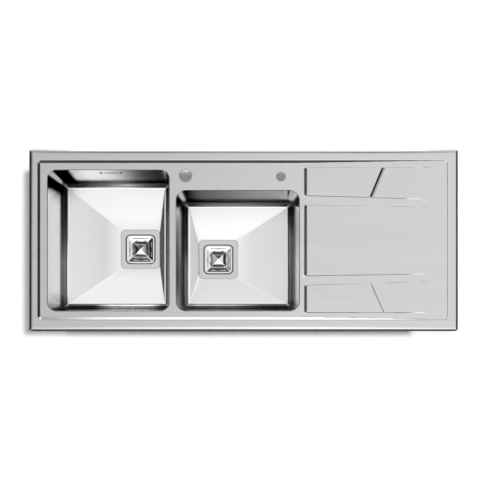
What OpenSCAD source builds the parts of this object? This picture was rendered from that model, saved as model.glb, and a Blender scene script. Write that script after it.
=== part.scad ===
// Inset kitchen sink with two bowls and a drainer on the right.
// Sizes are millimetres. X runs right, Y runs back, Z runs up.
// Zero is the centre of the rim, level with the top of the worktop.

/* [Rim and deck] */
// Length of the rim, left to right
rim_l = 1180; // [1150:10:1260]
// Width of the rim, front to back
rim_w = 500; // [480:5:520]
// Height of the rim above the worktop
rim_h = 4; // [3.6:0.2:5]
// Thickness of the steel sheet
sheet = 1; // [0.8:0.1:1.2]
// Width of the slope round the outside of the rim
rim_slope = 5.5; // [4:0.5:6]
// Corner radius of the rim
rim_corner = 6; // [4:1:10]
// Width of the rim on the left, up to the step
rim_left = 22; // [21:1:26]
// Width of the rim on the right, up to the step
rim_right = 28; // [24:1:34]
// Width of the rim at the back, up to the step
rim_back = 29; // [26:1:32]
// Width of the rim at the front, up to the step
rim_front = 31; // [28:1:34]
// Width of the step from the rim down to the deck
step_run = 10; // [8:1:11]
// Depth of the deck below the rim
deck_drop = 5; // [4:0.5:5.5]
// Corner radius of the step
step_corner = 14; // [12:1:20]

/* [Bowls] */
// Distance from the rim's left edge to the left bowl
bowl_inset = 50; // [46:1:60]
// Distance from the rim's front edge to both bowls
bowl_front = 56; // [52:1:62]
// Length of the left bowl
left_l = 334; // [310:2:350]
// Distance from the rim's back edge to the left bowl
left_back = 56; // [54:2:80]
// Corner radius of the left bowl
left_corner = 24; // [23:1:40]
// Width of the deck between the bowls
divider = 21; // [14:1:30]
// Length of the right bowl
right_l = 338; // [310:2:350]
// Distance from the rim's back edge to the right bowl
right_back = 112; // [108:2:140]
// Corner radius of the right bowl
right_corner = 27; // [23:1:40]
// Depth of the bowls at the foot of their walls
bowl_depth = 190; // [150:5:220]
// Fall of the bowl floor from the walls to the waste
floor_fall = 9; // [6:1:14]
// How far each wall leans in between its top and its foot
wall_lean = 7; // [4:1:10]
// Radius between the walls and the floor
floor_radius = 15; // [10:1:20]

/* [Tap ledge] */
// Radius of the hole for the tap
tap_hole_r = 17.5; // [17:0.5:18]
// Distance from the tap hole to the right bowl's left edge
tap_hole_x = 25; // [22:1:40]
// Radius of the hole for the second fitting
side_hole_r = 12.5; // [10:0.5:14]
// Distance from the second hole back to the right bowl's right edge
side_hole_x = 50; // [40:1:70]
// Distance of both holes from the rim's back edge
holes_in = 73; // [71:1:76]
// Thickness of the stiffening plate under the ledge
ledge_t = 3; // [2:0.5:4]
// Width of the stiffening plate
ledge_w = 54; // [50:1:56]
// Length of the stiffening plate beyond each hole's centre
ledge_end = 32; // [28:1:32]

/* [Drainer] */
// Distance from the right bowl to the drainer's panels
drainer_gap = 23; // [18:1:40]
// Distance from the rim's right edge to the panels
drainer_end = 50; // [46:1:60]
// Depth of the channels below the panels at the low end
channel_drop = 3.6; // [2.5:0.1:3.8]
// Width of the slope at each panel's left end
panel_end_run = 10; // [6:1:12]
// Width of the slope along each panel's long edges
panel_side_run = 6; // [4:1:7]
// Corner radius of the panels
panel_corner = 7; // [5:1:8]
// Distance from the rim's back edge to the back panel
panel_back = 50; // [49:1:54]
// Distance from the rim's front edge to the front panel
panel_front = 52; // [51:1:56]
// Distance from the middle line to each channel at its left end
channel_left_y = 110.5; // [100:0.5:120]
// Distance from the middle line to each channel at its right end
channel_right_y = 102; // [95:0.5:120]
// Width between the panels at a channel's left end
channel_left_w = 27; // [24:1:32]
// Width between the panels at a channel's right end
channel_right_w = 22; // [20:1:28]
// Width of the slanting grooves across the outer panels
groove_w = 8; // [5:0.5:10]
// Depth of the slanting grooves
groove_depth = 1.6; // [1:0.1:1.8]
// Distance along the panels to the back groove's front end
back_groove_in = 180; // [150:5:220]
// How far the back groove leans right as it runs back
back_groove_lean = 32; // [10:2:60]
// Distance along the panels to the front groove's back end
front_groove_in = 177; // [150:5:220]
// How far the front groove leans right as it runs forward
front_groove_lean = 33; // [10:2:60]

/* [Wastes] */
// Distance from the left bowl's right edge to its waste
left_waste_x = 99; // [90:1:120]
// Distance from the left bowl's front edge to its waste
left_waste_y = 186; // [150:1:210]
// Distance from the right bowl's left edge to its waste
right_waste_x = 111; // [90:1:125]
// Distance from the right bowl's front edge to its waste
right_waste_y = 156; // [130:1:190]
// Side of the square waste flange
flange_size = 114; // [110:1:118]
// Corner radius of the waste flange
flange_corner = 12; // [8:1:16]
// Thickness of the waste's pressed steel
flange_t = 1.2; // [1:0.1:1.5]
// Thickness of the gasket under the flange
gasket_t = 1.5; // [1:0.1:2]
// Side of the square dish inside the flange
dish_size = 86; // [84.5:0.5:88]
// Corner radius of the dish
dish_corner = 14; // [12:1:16]
// Depth of the dish below the flange
dish_depth = 14; // [13:1:18]
// Radius of the round cup under the dish
cup_r = 31; // [30:0.5:33]
// Depth of the round cup below the dish
cup_depth = 18; // [16:1:24]
// Radius of the drain holes in the cup
drain_r = 3; // [2:0.5:3.5]
// Number of drain holes in the outer ring
drain_count = 14; // [10:1:16]
// Thickness of the plastic waste body
body_wall = 3; // [2.5:0.5:4]
// Thickness of the seal above the waste body
lower_seal_t = 3; // [2:0.5:4]
// Radius of the outlet thread's outside, for a one and a half inch trap
outlet_r = 23.9; // [23.4:0.1:24.4]
// Length of the outlet
outlet_l = 28; // [22:1:40]
// Radius of the waste's centre screw
screw_r = 2.9; // [2.4:0.1:3.5]

/* [Baskets] */
// Side of the square basket
basket_size = 82; // [78:0.5:82.5]
// Depth of the basket's edge below the flange
basket_sink = 3; // [2:0.5:4]
// Width of the basket's flat edge
basket_edge = 4; // [3:0.5:5]
// Fall of the basket's sloping sides
basket_fall = 5; // [3:0.5:6]
// Thickness of the basket's steel
basket_t = 1.2; // [1:0.1:1.5]
// Side of the square knob
knob_size = 43; // [36:1:44]
// Height of the knob's faces
knob_h = 6; // [5:0.5:8]
// Width of the basket's slots
slot_w = 3.4; // [2:0.2:3.8]
// Length of the inner slots
inner_slot_l = 31; // [20:1:36]
// Length of the outer slots
outer_slot_l = 46; // [30:1:50]
// Radius of the basket's round skirt
skirt_r = 27; // [24:0.5:27.5]
// Running clearance of the basket's rubber seal in the cup
seal_room = 0.6; // [0.4:0.1:1]

/* [Overflow] */
// Distance from the left bowl's left edge to the overflow
overflow_x = 170; // [140:5:190]
// Depth of the overflow below the deck
overflow_drop = 38; // [34:1:60]
// Length of the overflow slot
overflow_l = 42; // [38:1:46]
// Height of the overflow slot
overflow_h = 9; // [8:0.5:11]
// Radius of the overflow pipe
pipe_r = 10; // [9:0.5:11]
// Wall of the overflow pipe
pipe_wall = 1.5; // [1:0.1:2]
// Radius of the overflow pipe's bend
pipe_bend = 40; // [30:1:50]
// Depth of the pipe below the bowl's floor
pipe_drop = 25; // [24:1:26]

/* [Clips and underside] */
// Thickness of the worktop that the clips hold
worktop_t = 28; // [27:1:40]
// Distance from the rim's edge to the cut-out in the worktop
cutout_in = 12; // [11:0.5:13]
// Distance from the step to each clip's screw
clip_in = 4; // [3:0.5:5]
// Distance from the rim's left edge to the first clip
clip_left_x = 120; // [100:5:130]
// Distance from the middle to the clips between the ends
clip_middle_x = 10; // [-20:5:60]
// Distance from the rim's right edge to the last clip
clip_right_x = 140; // [100:5:200]
// Reach of each clip's claw
claw_reach = 30; // [26:1:32]
// Width of each clip's claw
claw_w = 14; // [10:1:16]
// Thickness of the clip's steel
claw_t = 2; // [1.5:0.5:3]
// Radius of the clip's screw
clip_screw_r = 2.9; // [2.4:0.1:3.2]
// Width of the sealing strip under the rim
seal_w = 6; // [5:0.5:6.5]
// Thickness of the sound-deadening sheets
pad_t = 3; // [2:0.5:4]
// Distance from the panels' left end to the first brace
brace_in = 75; // [50:5:100]
// Distance from the panels' right end to the second brace
brace_end = 99; // [60:1:110]
// Depth of the braces
brace_h = 14; // [10:1:20]

/* [Hidden] */
// Play between pieces that pass through one another
play = 0.1;
// Gap under pieces that may come apart
rest_gap = 0.3;
corner_steps = 7;
fillet_steps = 4;
// Corner radius left where the walls' radii run out
least_corner = 1.5;
cut = 20;
$fn = 64;

rim_x = rim_l / 2;
rim_y = rim_w / 2;
deck_z = rim_h - deck_drop;
// How far the sloping cutters go below the deck
cutter_depth = 8;
step_slope = step_run / deck_drop;
rim_edge_z = sheet;

bowl_top = deck_z - sheet;
floor_z = deck_z - bowl_depth;
seat_top = floor_z - floor_fall;
seat_z = seat_top - gasket_t - flange_t;
bowl_under = seat_z - sheet;
seat_half = flange_size / 2 + 1;
gasket_half = flange_size / 2 - 0.5;
// Room between the dish and the bowl's waste hole
hole_room = 1.8;
dish_half = dish_size / 2;
hole_half = dish_half + flange_t + hole_room;
hole_corner = dish_corner + flange_t;

left_x0 = -rim_x + bowl_inset;
left_x1 = left_x0 + left_l;
right_x0 = left_x1 + divider;
right_x1 = right_x0 + right_l;
bowl_y0 = -rim_y + bowl_front;
left_y1 = rim_y - left_back;
right_y1 = rim_y - right_back;
left_waste = [left_x1 - left_waste_x, bowl_y0 + left_waste_y];
right_waste = [right_x0 + right_waste_x, bowl_y0 + right_waste_y];
// Each bowl is its low corner, its high corner, its corner radius and its waste
left_bowl = [[left_x0, bowl_y0], [left_x1, left_y1], left_corner, left_waste];
right_bowl = [[right_x0, bowl_y0], [right_x1, right_y1], right_corner, right_waste];

ledge_y = rim_y - holes_in;
// The tap hole lies a little behind the second hole
hole_stagger = 1.5;
tap_hole = [right_x0 + tap_hole_x, ledge_y + hole_stagger];
side_hole = [right_x1 - side_hole_x, ledge_y - hole_stagger];

ledge_corner = 3;

panel_x0 = right_x1 + drainer_gap;
panel_x1 = rim_x - drainer_end;
// The deck starts to rise a little before the panels
slope_lead = 5;
slope_x0 = panel_x0 - panel_end_run - slope_lead;
panel_z = deck_z + channel_drop;
// The deck ends a little above the panels, so that they run out into it
runout = 0.15;
slope_z1 = panel_z + runout;
slope_angle = atan((slope_z1 - deck_z) / (panel_x1 - slope_x0));
panel_y0 = -rim_y + panel_front;
panel_y1 = rim_y - panel_back;
left_low = channel_left_y - channel_left_w / 2;
left_high = channel_left_y + channel_left_w / 2;
right_low = channel_right_y - channel_right_w / 2;
right_high = channel_right_y + channel_right_w / 2;
// Corners of each panel's level top
back_panel = [[panel_x0, left_high], [panel_x1, right_high], [panel_x1, panel_y1], [panel_x0, panel_y1]];
middle_panel = [[panel_x0, -left_low], [panel_x1, -right_low], [panel_x1, right_low], [panel_x0, left_low]];
front_panel = [[panel_x0, panel_y0], [panel_x1, panel_y0], [panel_x1, -right_high], [panel_x0, -left_high]];

dish_z = seat_top - dish_depth;
cup_z = dish_z - cup_depth;
cup_under = cup_z - flange_t;
seal_under = bowl_under - lower_seal_t;
body_flange_t = 4;
body_half = flange_size / 2 - 3;
chamber_top = dish_z - flange_t - body_wall;
// Room for water between the cup and the body's chamber
water_room = 4;
chamber_r = cup_r + flange_t + water_room;
chamber_z = cup_under - water_room;
funnel_h = 12;
outlet_top = chamber_z - funnel_h;
outlet_z = outlet_top - outlet_l;
boss_r = 7;
// Height of the boss's foot below its top and depth of its ribs
boss_body = 11.5;
rib_h = 6;
rib_t = 3;
head_r = 6;
head_h = 3;

pan_z = seat_top - basket_sink;
pan_low = pan_z - basket_fall;
knob_half = knob_size / 2;
pan_half = basket_size / 2;
knob_corner = 3;
knob_room = 0.5;
slope_in = knob_half + knob_room;
slope_out = pan_half - basket_edge;
// Steel left between the slots and the slope's two edges
inner_land = 1;
outer_land = 3.5;
inner_slot_at = slope_in + slot_w / 2 + inner_land;
outer_slot_at = slope_out - slot_w / 2 - outer_land;
basket_floor = cup_z + head_h + 1;
basket_floor_t = 2;
stem_r = 4;
seal_h = basket_floor - cup_z - rest_gap;

// Height of the wall's outside where the overflow is
overflow_z = deck_z - overflow_drop;
wall_angle = atan(wall_lean / (bowl_depth - floor_radius - sheet));
overflow_at = [left_x0 + overflow_x, left_y1 + sheet - (bowl_top - overflow_z) * tan(wall_angle), overflow_z];
// Housing round the slot, with an ear for a screw at each end
ear_in = 7;
ear_at = overflow_l / 2 + ear_in;
lip_h = 7.5;
housing_l = 2 * (ear_at + ear_in);
housing_h = overflow_h + 2 * lip_h;
housing_w = 25;
housing_flange_t = 4;
overflow_gasket_t = 2;
overflow_screw_r = 2;
// How far each screw reaches behind the wall
screw_reach = 7;
// Depth of the housing's socket below the slot and the pipe's distance behind the wall
socket_drop = 34;
socket_z = overflow_z - socket_drop;
pipe_out = 17;
pipe_at = [overflow_at.x, overflow_at.y + pipe_out];
pipe_z = bowl_under - pipe_drop;
nut_wall = 4.5;
nut_r = pipe_r + nut_wall;
nut_h = 10;
// Wall of the socket and of the port that take the pipe's ends
socket_wall = 2;
port_r = pipe_r + play + socket_wall;
port_end = 62;
// How far each end of the pipe goes in
pipe_in = 14;
to_pipe = pipe_at - left_waste;
port_angle = atan2(to_pipe.y, to_pipe.x);

seal_out = cutout_in - seal_w;
under_rim = rim_h - sheet;
// Depth of a bracket below the rim, and its leg's place behind the step's top edge
bracket_h = 15;
foot_z = under_rim - bracket_h;
leg_in = 5.5;
bracket_t = 1.5;
bracket_half = 11;
bracket_room = 0.5;
nut_hex_r = 5.6;
nut_land = 2;
// The claws' tips just reach the worktop from below
claw_tip = 6;
claw_top = -worktop_t - claw_tip;
clip_low = claw_top - claw_t - rest_gap;
collar_r = 5.5;
collar_t = 2;
clip_head = 6;
// How far each screw stands out of its bracket's foot
screw_out = 7;
// Each clip is the place of its screw and the way that its claw swings out
clip_back_y = rim_y - rim_back - clip_in;
clip_front_y = -rim_y + rim_front + clip_in;
clip_xs = [-rim_x + clip_left_x, clip_middle_x, rim_x - clip_right_x];
clips = concat(
    [for (x = clip_xs) [[x, clip_back_y], 90]],
    [for (x = clip_xs) [[x, clip_front_y], 270]],
    [[[-rim_x + rim_left + clip_in, 0], 180], [[rim_x - rim_right - clip_in, 0], 0]]
);

// Braces under the drainer, with the flats that are welded to the deck
brace_xs = [panel_x0 + brace_in, panel_x1 - brace_end];
brace_half = 22;
brace_flat = 12;
brace_t = 1.2;
brace_short = 10;
// Room round the pad between the braces and inside the middle panel
pad_in = 4;
pad_side = 20;

tag_in = 12;
tag_at = [panel_x0 - panel_end_run - tag_in, ledge_y];
tag_l = 22;
tag_w = 14;
tag_t = 1.5;
tag_hole_z = bowl_top - tag_l + tag_w / 2;
tag_screw_r = 2.5;

steel = "silver";
polished = "gainsboro";
zinc = "darkgray";
rubber = "dimgray";
plastic = "whitesmoke";
brass = "goldenrod";

function unit(v) = v / norm(v);

// Arc that rounds the corner p between its neighbours a and b
function corner_arc(a, p, b, r) =
    let (
        to_a = unit(a - p),
        to_b = unit(b - p),
        half = acos(to_a * to_b) / 2,
        turn = 180 - 2 * half,
        centre = p + unit(to_a + to_b) * r / sin(half),
        first = (p + to_a * r / tan(half) - centre) / r,
        last = (p + to_b * r / tan(half) - centre) / r
    )
    [
        for (k = [0:corner_steps])
        let (s = k / corner_steps)
        centre + r * (first * sin((1 - s) * turn) + last * sin(s * turn)) / sin(turn)
    ];

// Outline through the corners, each rounded to r
function outline(corners, r) =
    [
        for (i = [0:len(corners) - 1])
        each corner_arc(
            corners[(i + len(corners) - 1) % len(corners)], corners[i], corners[(i + 1) % len(corners)], r
        )
    ];

function box_corners(low, high) = [low, [high.x, low.y], high, [low.x, high.y]];

function box_outline(low, high, r) = outline(box_corners(low, high), r);

function square_outline(at, half, r) = box_outline(at - [half, half], at + [half, half], r);

function raised(points, z) = [for (p = points) [p.x, p.y, z]];

// Triangles between ring i and the next ring up
function band(i, j, n) =
    [
        for (k = [0:n - 1])
        let (m = (k + 1) % n)
        each [[i * n + k, j * n + k, j * n + m], [i * n + k, j * n + m, i * n + m]]
    ];

// Solid through rings that run upwards, closed at both ends
module loft(rings) {
    n = len(rings[0]);
    last = len(rings) - 1;
    polyhedron(
        points = [for (ring = rings) each ring],
        faces = concat(
            [[for (k = [0:n - 1]) k]],
            [for (i = [0:last - 1]) each band(i, i + 1, n)],
            [[for (k = [n - 1:-1:0]) last * n + k]]
        )
    );
}

// Hollow solid through rings that run up the outside and down the inside
module ring_shell(rings) {
    n = len(rings[0]);
    polyhedron(
        points = [for (ring = rings) each ring],
        faces = [for (i = [0:len(rings) - 1]) each band(i, (i + 1) % len(rings), n)]
    );
}

module rounded_box(low, high, r) {
    translate(low + [r, 0]) square(high - low - [2 * r, 0]);
    translate(low + [0, r]) square(high - low - [0, 2 * r]);
    for (x = [low.x + r, high.x - r])
        for (y = [low.y + r, high.y - r])
            translate([x, y]) circle(r = r);
}

module square_prism(at, half, r, z0, z1) {
    translate([0, 0, z0])
        linear_extrude(z1 - z0)
            rounded_box(at - [half, half], at + [half, half], r);
}

module tube(r, bore, h) {
    difference() {
        cylinder(r = r, h = h);
        translate([0, 0, -1]) cylinder(r = bore, h = h + 2);
    }
}

module hex(r, h) {
    cylinder(r = r, h = h, $fn = 6);
}

// Deck

// Outside of the rim, with its slope carried on down by the given depth
module rim_block(low) {
    lean = rim_slope / (rim_h - rim_edge_z);
    foot = low < 0 ? [rim_x, rim_y] + [1, 1] * lean * (rim_edge_z - low) : [rim_x, rim_y];
    loft(concat(
        low < 0 ? [] : [raised(box_outline(-foot, foot, rim_corner), -cutter_depth)],
        [
            raised(box_outline(-foot, foot, rim_corner), low < 0 ? low : rim_edge_z),
            raised(box_outline(
                -[rim_x, rim_y] + [1, 1] * rim_slope,
                [rim_x, rim_y] - [1, 1] * rim_slope,
                rim_corner
            ), rim_h)
        ]
    ));
}

// Everything that the step cuts away inside the rim
module step_cutter() {
    low = [-rim_x + rim_left, -rim_y + rim_front];
    high = [rim_x - rim_right, rim_y - rim_back];
    down = [1, 1] * step_slope * cutter_depth;
    up = [1, 1] * step_slope;
    loft([
        raised(box_outline(low + down, high - down, step_corner), rim_h - cutter_depth),
        raised(box_outline(low - up, high + up, step_corner), rim_h + 1)
    ]);
}

// Deck plane, flat round the bowls and rising along the drainer
module deck_plane() {
    translate([0, rim_y + cut, 0])
        rotate([90, 0, 0])
            linear_extrude(rim_w + 2 * cut)
                polygon([
                    [-rim_x - cut, -cut],
                    [rim_x + cut, -cut],
                    [rim_x + cut, slope_z1],
                    [panel_x1, slope_z1],
                    [slope_x0, deck_z],
                    [-rim_x - cut, deck_z]
                ]);
}

module panel(corners) {
    spread = cutter_depth / channel_drop;
    ends = [-panel_end_run, 0] * spread;
    sides = [0, panel_side_run] * spread;
    foot = [
        corners[0] + ends - sides,
        corners[1] - sides,
        corners[2] + sides,
        corners[3] + ends + sides
    ];
    loft([
        raised(outline(foot, panel_corner), panel_z - cutter_depth),
        raised(outline(corners, panel_corner), panel_z)
    ]);
}

// Slanting groove between two points, cut down from the panels
module groove(from, to) {
    way = to - from;
    over = 12;
    translate([from.x, from.y, panel_z])
        rotate([0, 0, atan2(way.y, way.x)])
            rotate([90, 0, 90])
                translate([0, 0, -over])
                    linear_extrude(norm(way) + 2 * over)
                        polygon([
                            [0, -groove_depth],
                            [groove_w, groove_depth],
                            [-groove_w, groove_depth]
                        ]);
}

// All that lies under the deck's top surface
module deck_block(low) {
    difference() {
        union() {
            difference() {
                rim_block(low);
                difference() {
                    step_cutter();
                    deck_plane();
                }
            }
            intersection() {
                union() {
                    panel(back_panel);
                    panel(middle_panel);
                    panel(front_panel);
                }
                step_cutter();
            }
        }
        groove(
            [panel_x0 + back_groove_in, left_high],
            [panel_x0 + back_groove_in + back_groove_lean, panel_y1]
        );
        groove(
            [panel_x0 + front_groove_in, -left_high],
            [panel_x0 + front_groove_in + front_groove_lean, panel_y0]
        );
    }
}

module through_deck(low, high, r) {
    translate([0, 0, -cut])
        linear_extrude(2 * cut)
            rounded_box(low, high, r);
}

// Both holes for fittings, through the deck and its stiffener alike
module ledge_holes() {
    translate([tap_hole.x, tap_hole.y, -cut]) cylinder(r = tap_hole_r, h = 2 * cut);
    translate([side_hole.x, side_hole.y, -cut]) cylinder(r = side_hole_r, h = 2 * cut);
}

module deck() {
    color(steel)
        difference() {
            deck_block(0);
            translate([0, 0, -sheet]) deck_block(-cutter_depth - 2 * sheet);
            through_deck(left_bowl[0], left_bowl[1], left_corner);
            through_deck(right_bowl[0], right_bowl[1], right_corner);
            ledge_holes();
        }
}

// Bowls

function bowl_outline(bowl, inset) =
    box_outline(bowl[0] + [inset, inset], bowl[1] - [inset, inset], max(bowl[2] - inset, least_corner));

// Rings from a bowl's top down to its waste hole, on the inside or one skin outside it
function bowl_rings(bowl, skin) =
    concat(
        [raised(bowl_outline(bowl, -skin), bowl_top)],
        [
            for (k = [0:fillet_steps])
            let (a = 90 * k / fillet_steps, r = floor_radius + skin)
            raised(
                bowl_outline(bowl, wall_lean + floor_radius - r * cos(a)),
                floor_z + floor_radius - r * sin(a)
            )
        ],
        [
            raised(square_outline(bowl[3], seat_half + skin, flange_corner + 1 + skin), seat_top - skin),
            raised(square_outline(bowl[3], seat_half + skin, flange_corner + 1 + skin), seat_z - skin),
            raised(square_outline(bowl[3], hole_half, hole_corner), seat_z - skin)
        ]
    );

function reversed(list) = [for (i = [len(list) - 1:-1:0]) list[i]];

module bowl(b) {
    color(steel) ring_shell(concat(reversed(bowl_rings(b, sheet)), bowl_rings(b, 0)));
}

module bowl_left() {
    difference() {
        bowl(left_bowl);
        on_overflow_wall() {
            overflow_slot(overflow_l, overflow_h, -cut, cut);
            overflow_ears(overflow_screw_r + play, -cut, cut);
        }
    }
}

// Point ring between the foot of the walls and the waste seat, under the floor
function floor_ring(bowl, share, drop) =
    let (
        outer = bowl_outline(bowl, wall_lean + floor_radius),
        inner = square_outline(bowl[3], seat_half + sheet, flange_corner + 1 + sheet)
    )
    [
        for (k = [0:len(outer) - 1])
        let (p = outer[k] * (1 - share) + inner[k] * share)
        [p.x, p.y, (floor_z - sheet) * (1 - share) + (seat_top - sheet) * share - drop]
    ];

module sound_deadener(bowl) {
    near = 0.82;
    far = 0.25;
    color(rubber)
        ring_shell([
            floor_ring(bowl, near, pad_t + play),
            floor_ring(bowl, far, pad_t + play),
            floor_ring(bowl, far, play),
            floor_ring(bowl, near, play)
        ]);
}

// Under the deck

module tap_ledge_plate() {
    low = [tap_hole.x - ledge_end, ledge_y - ledge_w / 2];
    high = [side_hole.x + ledge_end, ledge_y + ledge_w / 2];
    color(zinc)
        difference() {
            translate([0, 0, bowl_top - ledge_t])
                linear_extrude(ledge_t)
                    rounded_box(low, high, ledge_corner);
            ledge_holes();
        }
}

// Four strips, of which the long ones stop short of the rim's rounded corners
module rim_seal() {
    corner_in = rim_corner / 2;
    outer = [rim_x, rim_y] - [1, 1] * (seal_out + play);
    color(rubber) {
        for (side = [-1, 1]) {
            translate([-outer.x + corner_in, side * (outer.y - seal_w / 2) - seal_w / 2, 0])
                cube([2 * (outer.x - corner_in), seal_w, under_rim]);
            translate([side * (outer.x - seal_w / 2) - seal_w / 2, -outer.y + seal_w + play, 0])
                cube([seal_w, 2 * (outer.y - seal_w - play), under_rim]);
        }
    }
}

module sound_deadener_drainer() {
    low_x = brace_xs[0] + brace_half + pad_in;
    high_x = brace_xs[1] - brace_half - pad_in;
    half_w = right_low - pad_side;
    color(rubber)
        translate([low_x, -half_w, panel_z - sheet - pad_t])
            cube([high_x - low_x, 2 * half_w, pad_t]);
}

// Hat-shaped rails across the underside of the drainer
module drainer_braces() {
    web = brace_half - brace_flat;
    t = brace_t;
    low = -rim_y + rim_front + step_run + brace_short;
    high = rim_y - rim_back - step_run - brace_short;
    color(zinc)
        for (x = brace_xs)
            translate([x, high, deck_z - sheet + (x - slope_x0) * tan(slope_angle)])
                rotate([0, -slope_angle, 0])
                    rotate([90, 0, 0])
                        linear_extrude(high - low)
                            polygon([
                                [-brace_half, -t],
                                [-web, -t],
                                [-web, -brace_h],
                                [web, -brace_h],
                                [web, -t],
                                [brace_half, -t],
                                [brace_half, 0],
                                [web - t, 0],
                                [web - t, t - brace_h],
                                [t - web, t - brace_h],
                                [t - web, 0],
                                [-brace_half, 0]
                            ]);
}

module earth_tag() {
    color(zinc)
        difference() {
            translate([tag_at.x, tag_at.y - tag_w / 2, 0]) {
                translate([0, 0, bowl_top - tag_l]) cube([tag_t, tag_w, tag_l]);
                translate([-tag_w, 0, bowl_top - tag_t]) cube([tag_w + tag_t, tag_w, tag_t]);
            }
            translate([tag_at.x - 1, tag_at.y, tag_hole_z])
                rotate([0, 90, 0])
                    cylinder(r = tag_screw_r + play, h = tag_t + 2);
        }
}

module earth_screw() {
    head_t = 2.5;
    nut_t = 4;
    stub = 4;
    color(brass)
        translate([tag_at.x, tag_at.y, tag_hole_z])
            rotate([0, 90, 0]) {
                translate([0, 0, -nut_t]) hex(2 * tag_screw_r, nut_t);
                translate([0, 0, -nut_t - stub]) cylinder(r = tag_screw_r, h = tag_t + nut_t + stub + 1);
                translate([0, 0, tag_t]) cylinder(r = 2 * tag_screw_r, h = head_t);
            }
}

// Clips

// Children drawn at a clip, with +X towards the edge of the rim
module at_clip(clip) {
    translate([clip[0].x, clip[0].y, 0]) rotate([0, 0, clip[1]]) children();
}

module clip_bracket() {
    leg = clip_in + leg_in;
    difference() {
        union() {
            translate([clip_in + bracket_room, -bracket_half, under_rim - bracket_t])
                cube([leg_in - bracket_room + bracket_t, 2 * bracket_half, bracket_t]);
            translate([leg, -bracket_half, foot_z])
                cube([bracket_t, 2 * bracket_half, under_rim - foot_z]);
            translate([-nut_hex_r - nut_land, -bracket_half, foot_z])
                cube([leg + nut_hex_r + nut_land + bracket_t, 2 * bracket_half, bracket_t]);
        }
        translate([0, 0, foot_z - 1]) cylinder(r = clip_screw_r + play, h = bracket_t + 2);
    }
}

module clip_brackets() {
    color(zinc)
        for (clip = clips)
            at_clip(clip) clip_bracket();
}

module clip_nuts() {
    nut_t = 5;
    color(zinc)
        for (clip = clips)
            at_clip(clip)
                difference() {
                    translate([0, 0, foot_z - nut_t]) hex(nut_hex_r, nut_t);
                    translate([0, 0, foot_z - nut_t - 1]) cylinder(r = clip_screw_r + play, h = nut_t + 2);
                }
}

module clip_screws() {
    color(zinc)
        for (clip = clips)
            at_clip(clip) {
                translate([0, 0, clip_low - 1]) cylinder(r = clip_screw_r, h = foot_z - clip_low + screw_out);
                translate([0, 0, clip_low - collar_t]) cylinder(r = collar_r, h = collar_t);
                translate([0, 0, claw_top + rest_gap]) cylinder(r = collar_r, h = collar_t / 2);
                translate([0, 0, clip_low - collar_t - clip_head]) hex(nut_hex_r, clip_head);
            }
}

// Claw that lies along the rim at rest and swings out under the worktop
module clip_claw(clip) {
    tooth = 2;
    color(zinc)
        at_clip(clip)
            rotate([0, 0, -90])
                difference() {
                    union() {
                        translate([0, 0, claw_top - claw_t]) cylinder(r = claw_w / 2, h = claw_t);
                        translate([0, -claw_w / 2, claw_top - claw_t]) cube([claw_reach, claw_w, claw_t]);
                        translate([claw_reach - claw_t, -claw_w / 2, claw_top - claw_t])
                            cube([claw_t, claw_w, claw_t + claw_tip]);
                    }
                    translate([0, 0, claw_top - claw_t - 1])
                        cylinder(r = clip_screw_r + rest_gap, h = claw_t + 2);
                    for (y = [-tooth, tooth])
                        translate([claw_reach - claw_t - 1, y - tooth / 2, claw_top + claw_tip - tooth])
                            cube([claw_t + 2, tooth, tooth + 1]);
                }
}

// Wastes

module waste_flange(at) {
    drain_land = 2.5;
    color(polished)
        difference() {
            union() {
                square_prism(at, flange_size / 2, flange_corner, seat_top - flange_t, seat_top);
                square_prism(at, dish_half + flange_t, dish_corner + flange_t, dish_z - flange_t, seat_top);
                translate([at.x, at.y, cup_under]) cylinder(r = cup_r + flange_t, h = dish_z - cup_under);
            }
            square_prism(at, dish_half, dish_corner, dish_z, seat_top + 1);
            translate([at.x, at.y, cup_z]) cylinder(r = cup_r, h = dish_z - cup_z + 1);
            translate([at.x, at.y, cup_under - 1]) {
                cylinder(r = screw_r + play, h = flange_t + 2);
                ring_of_holes(cup_r - drain_r - drain_land, drain_count);
                ring_of_holes(cup_r / 2 - 1, drain_count / 2);
            }
        }
}

module ring_of_holes(at_r, count) {
    for (k = [0:count - 1])
        rotate([0, 0, 360 * k / count])
            translate([at_r, 0, 0])
                cylinder(r = drain_r, h = flange_t + 2, $fn = 24);
}

module square_ring(at, half, r, inner_half, inner_r, z0, z1) {
    difference() {
        square_prism(at, half, r, z0, z1);
        square_prism(at, inner_half, inner_r, z0 - 1, z1 + 1);
    }
}

module waste_gasket(at) {
    color(rubber)
        square_ring(at, gasket_half, flange_corner, hole_half, hole_corner, seat_z, seat_z + gasket_t);
}

module waste_seal(at) {
    color(rubber)
        square_ring(at, body_half, flange_corner, hole_half, hole_corner, seal_under, bowl_under);
}

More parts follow.
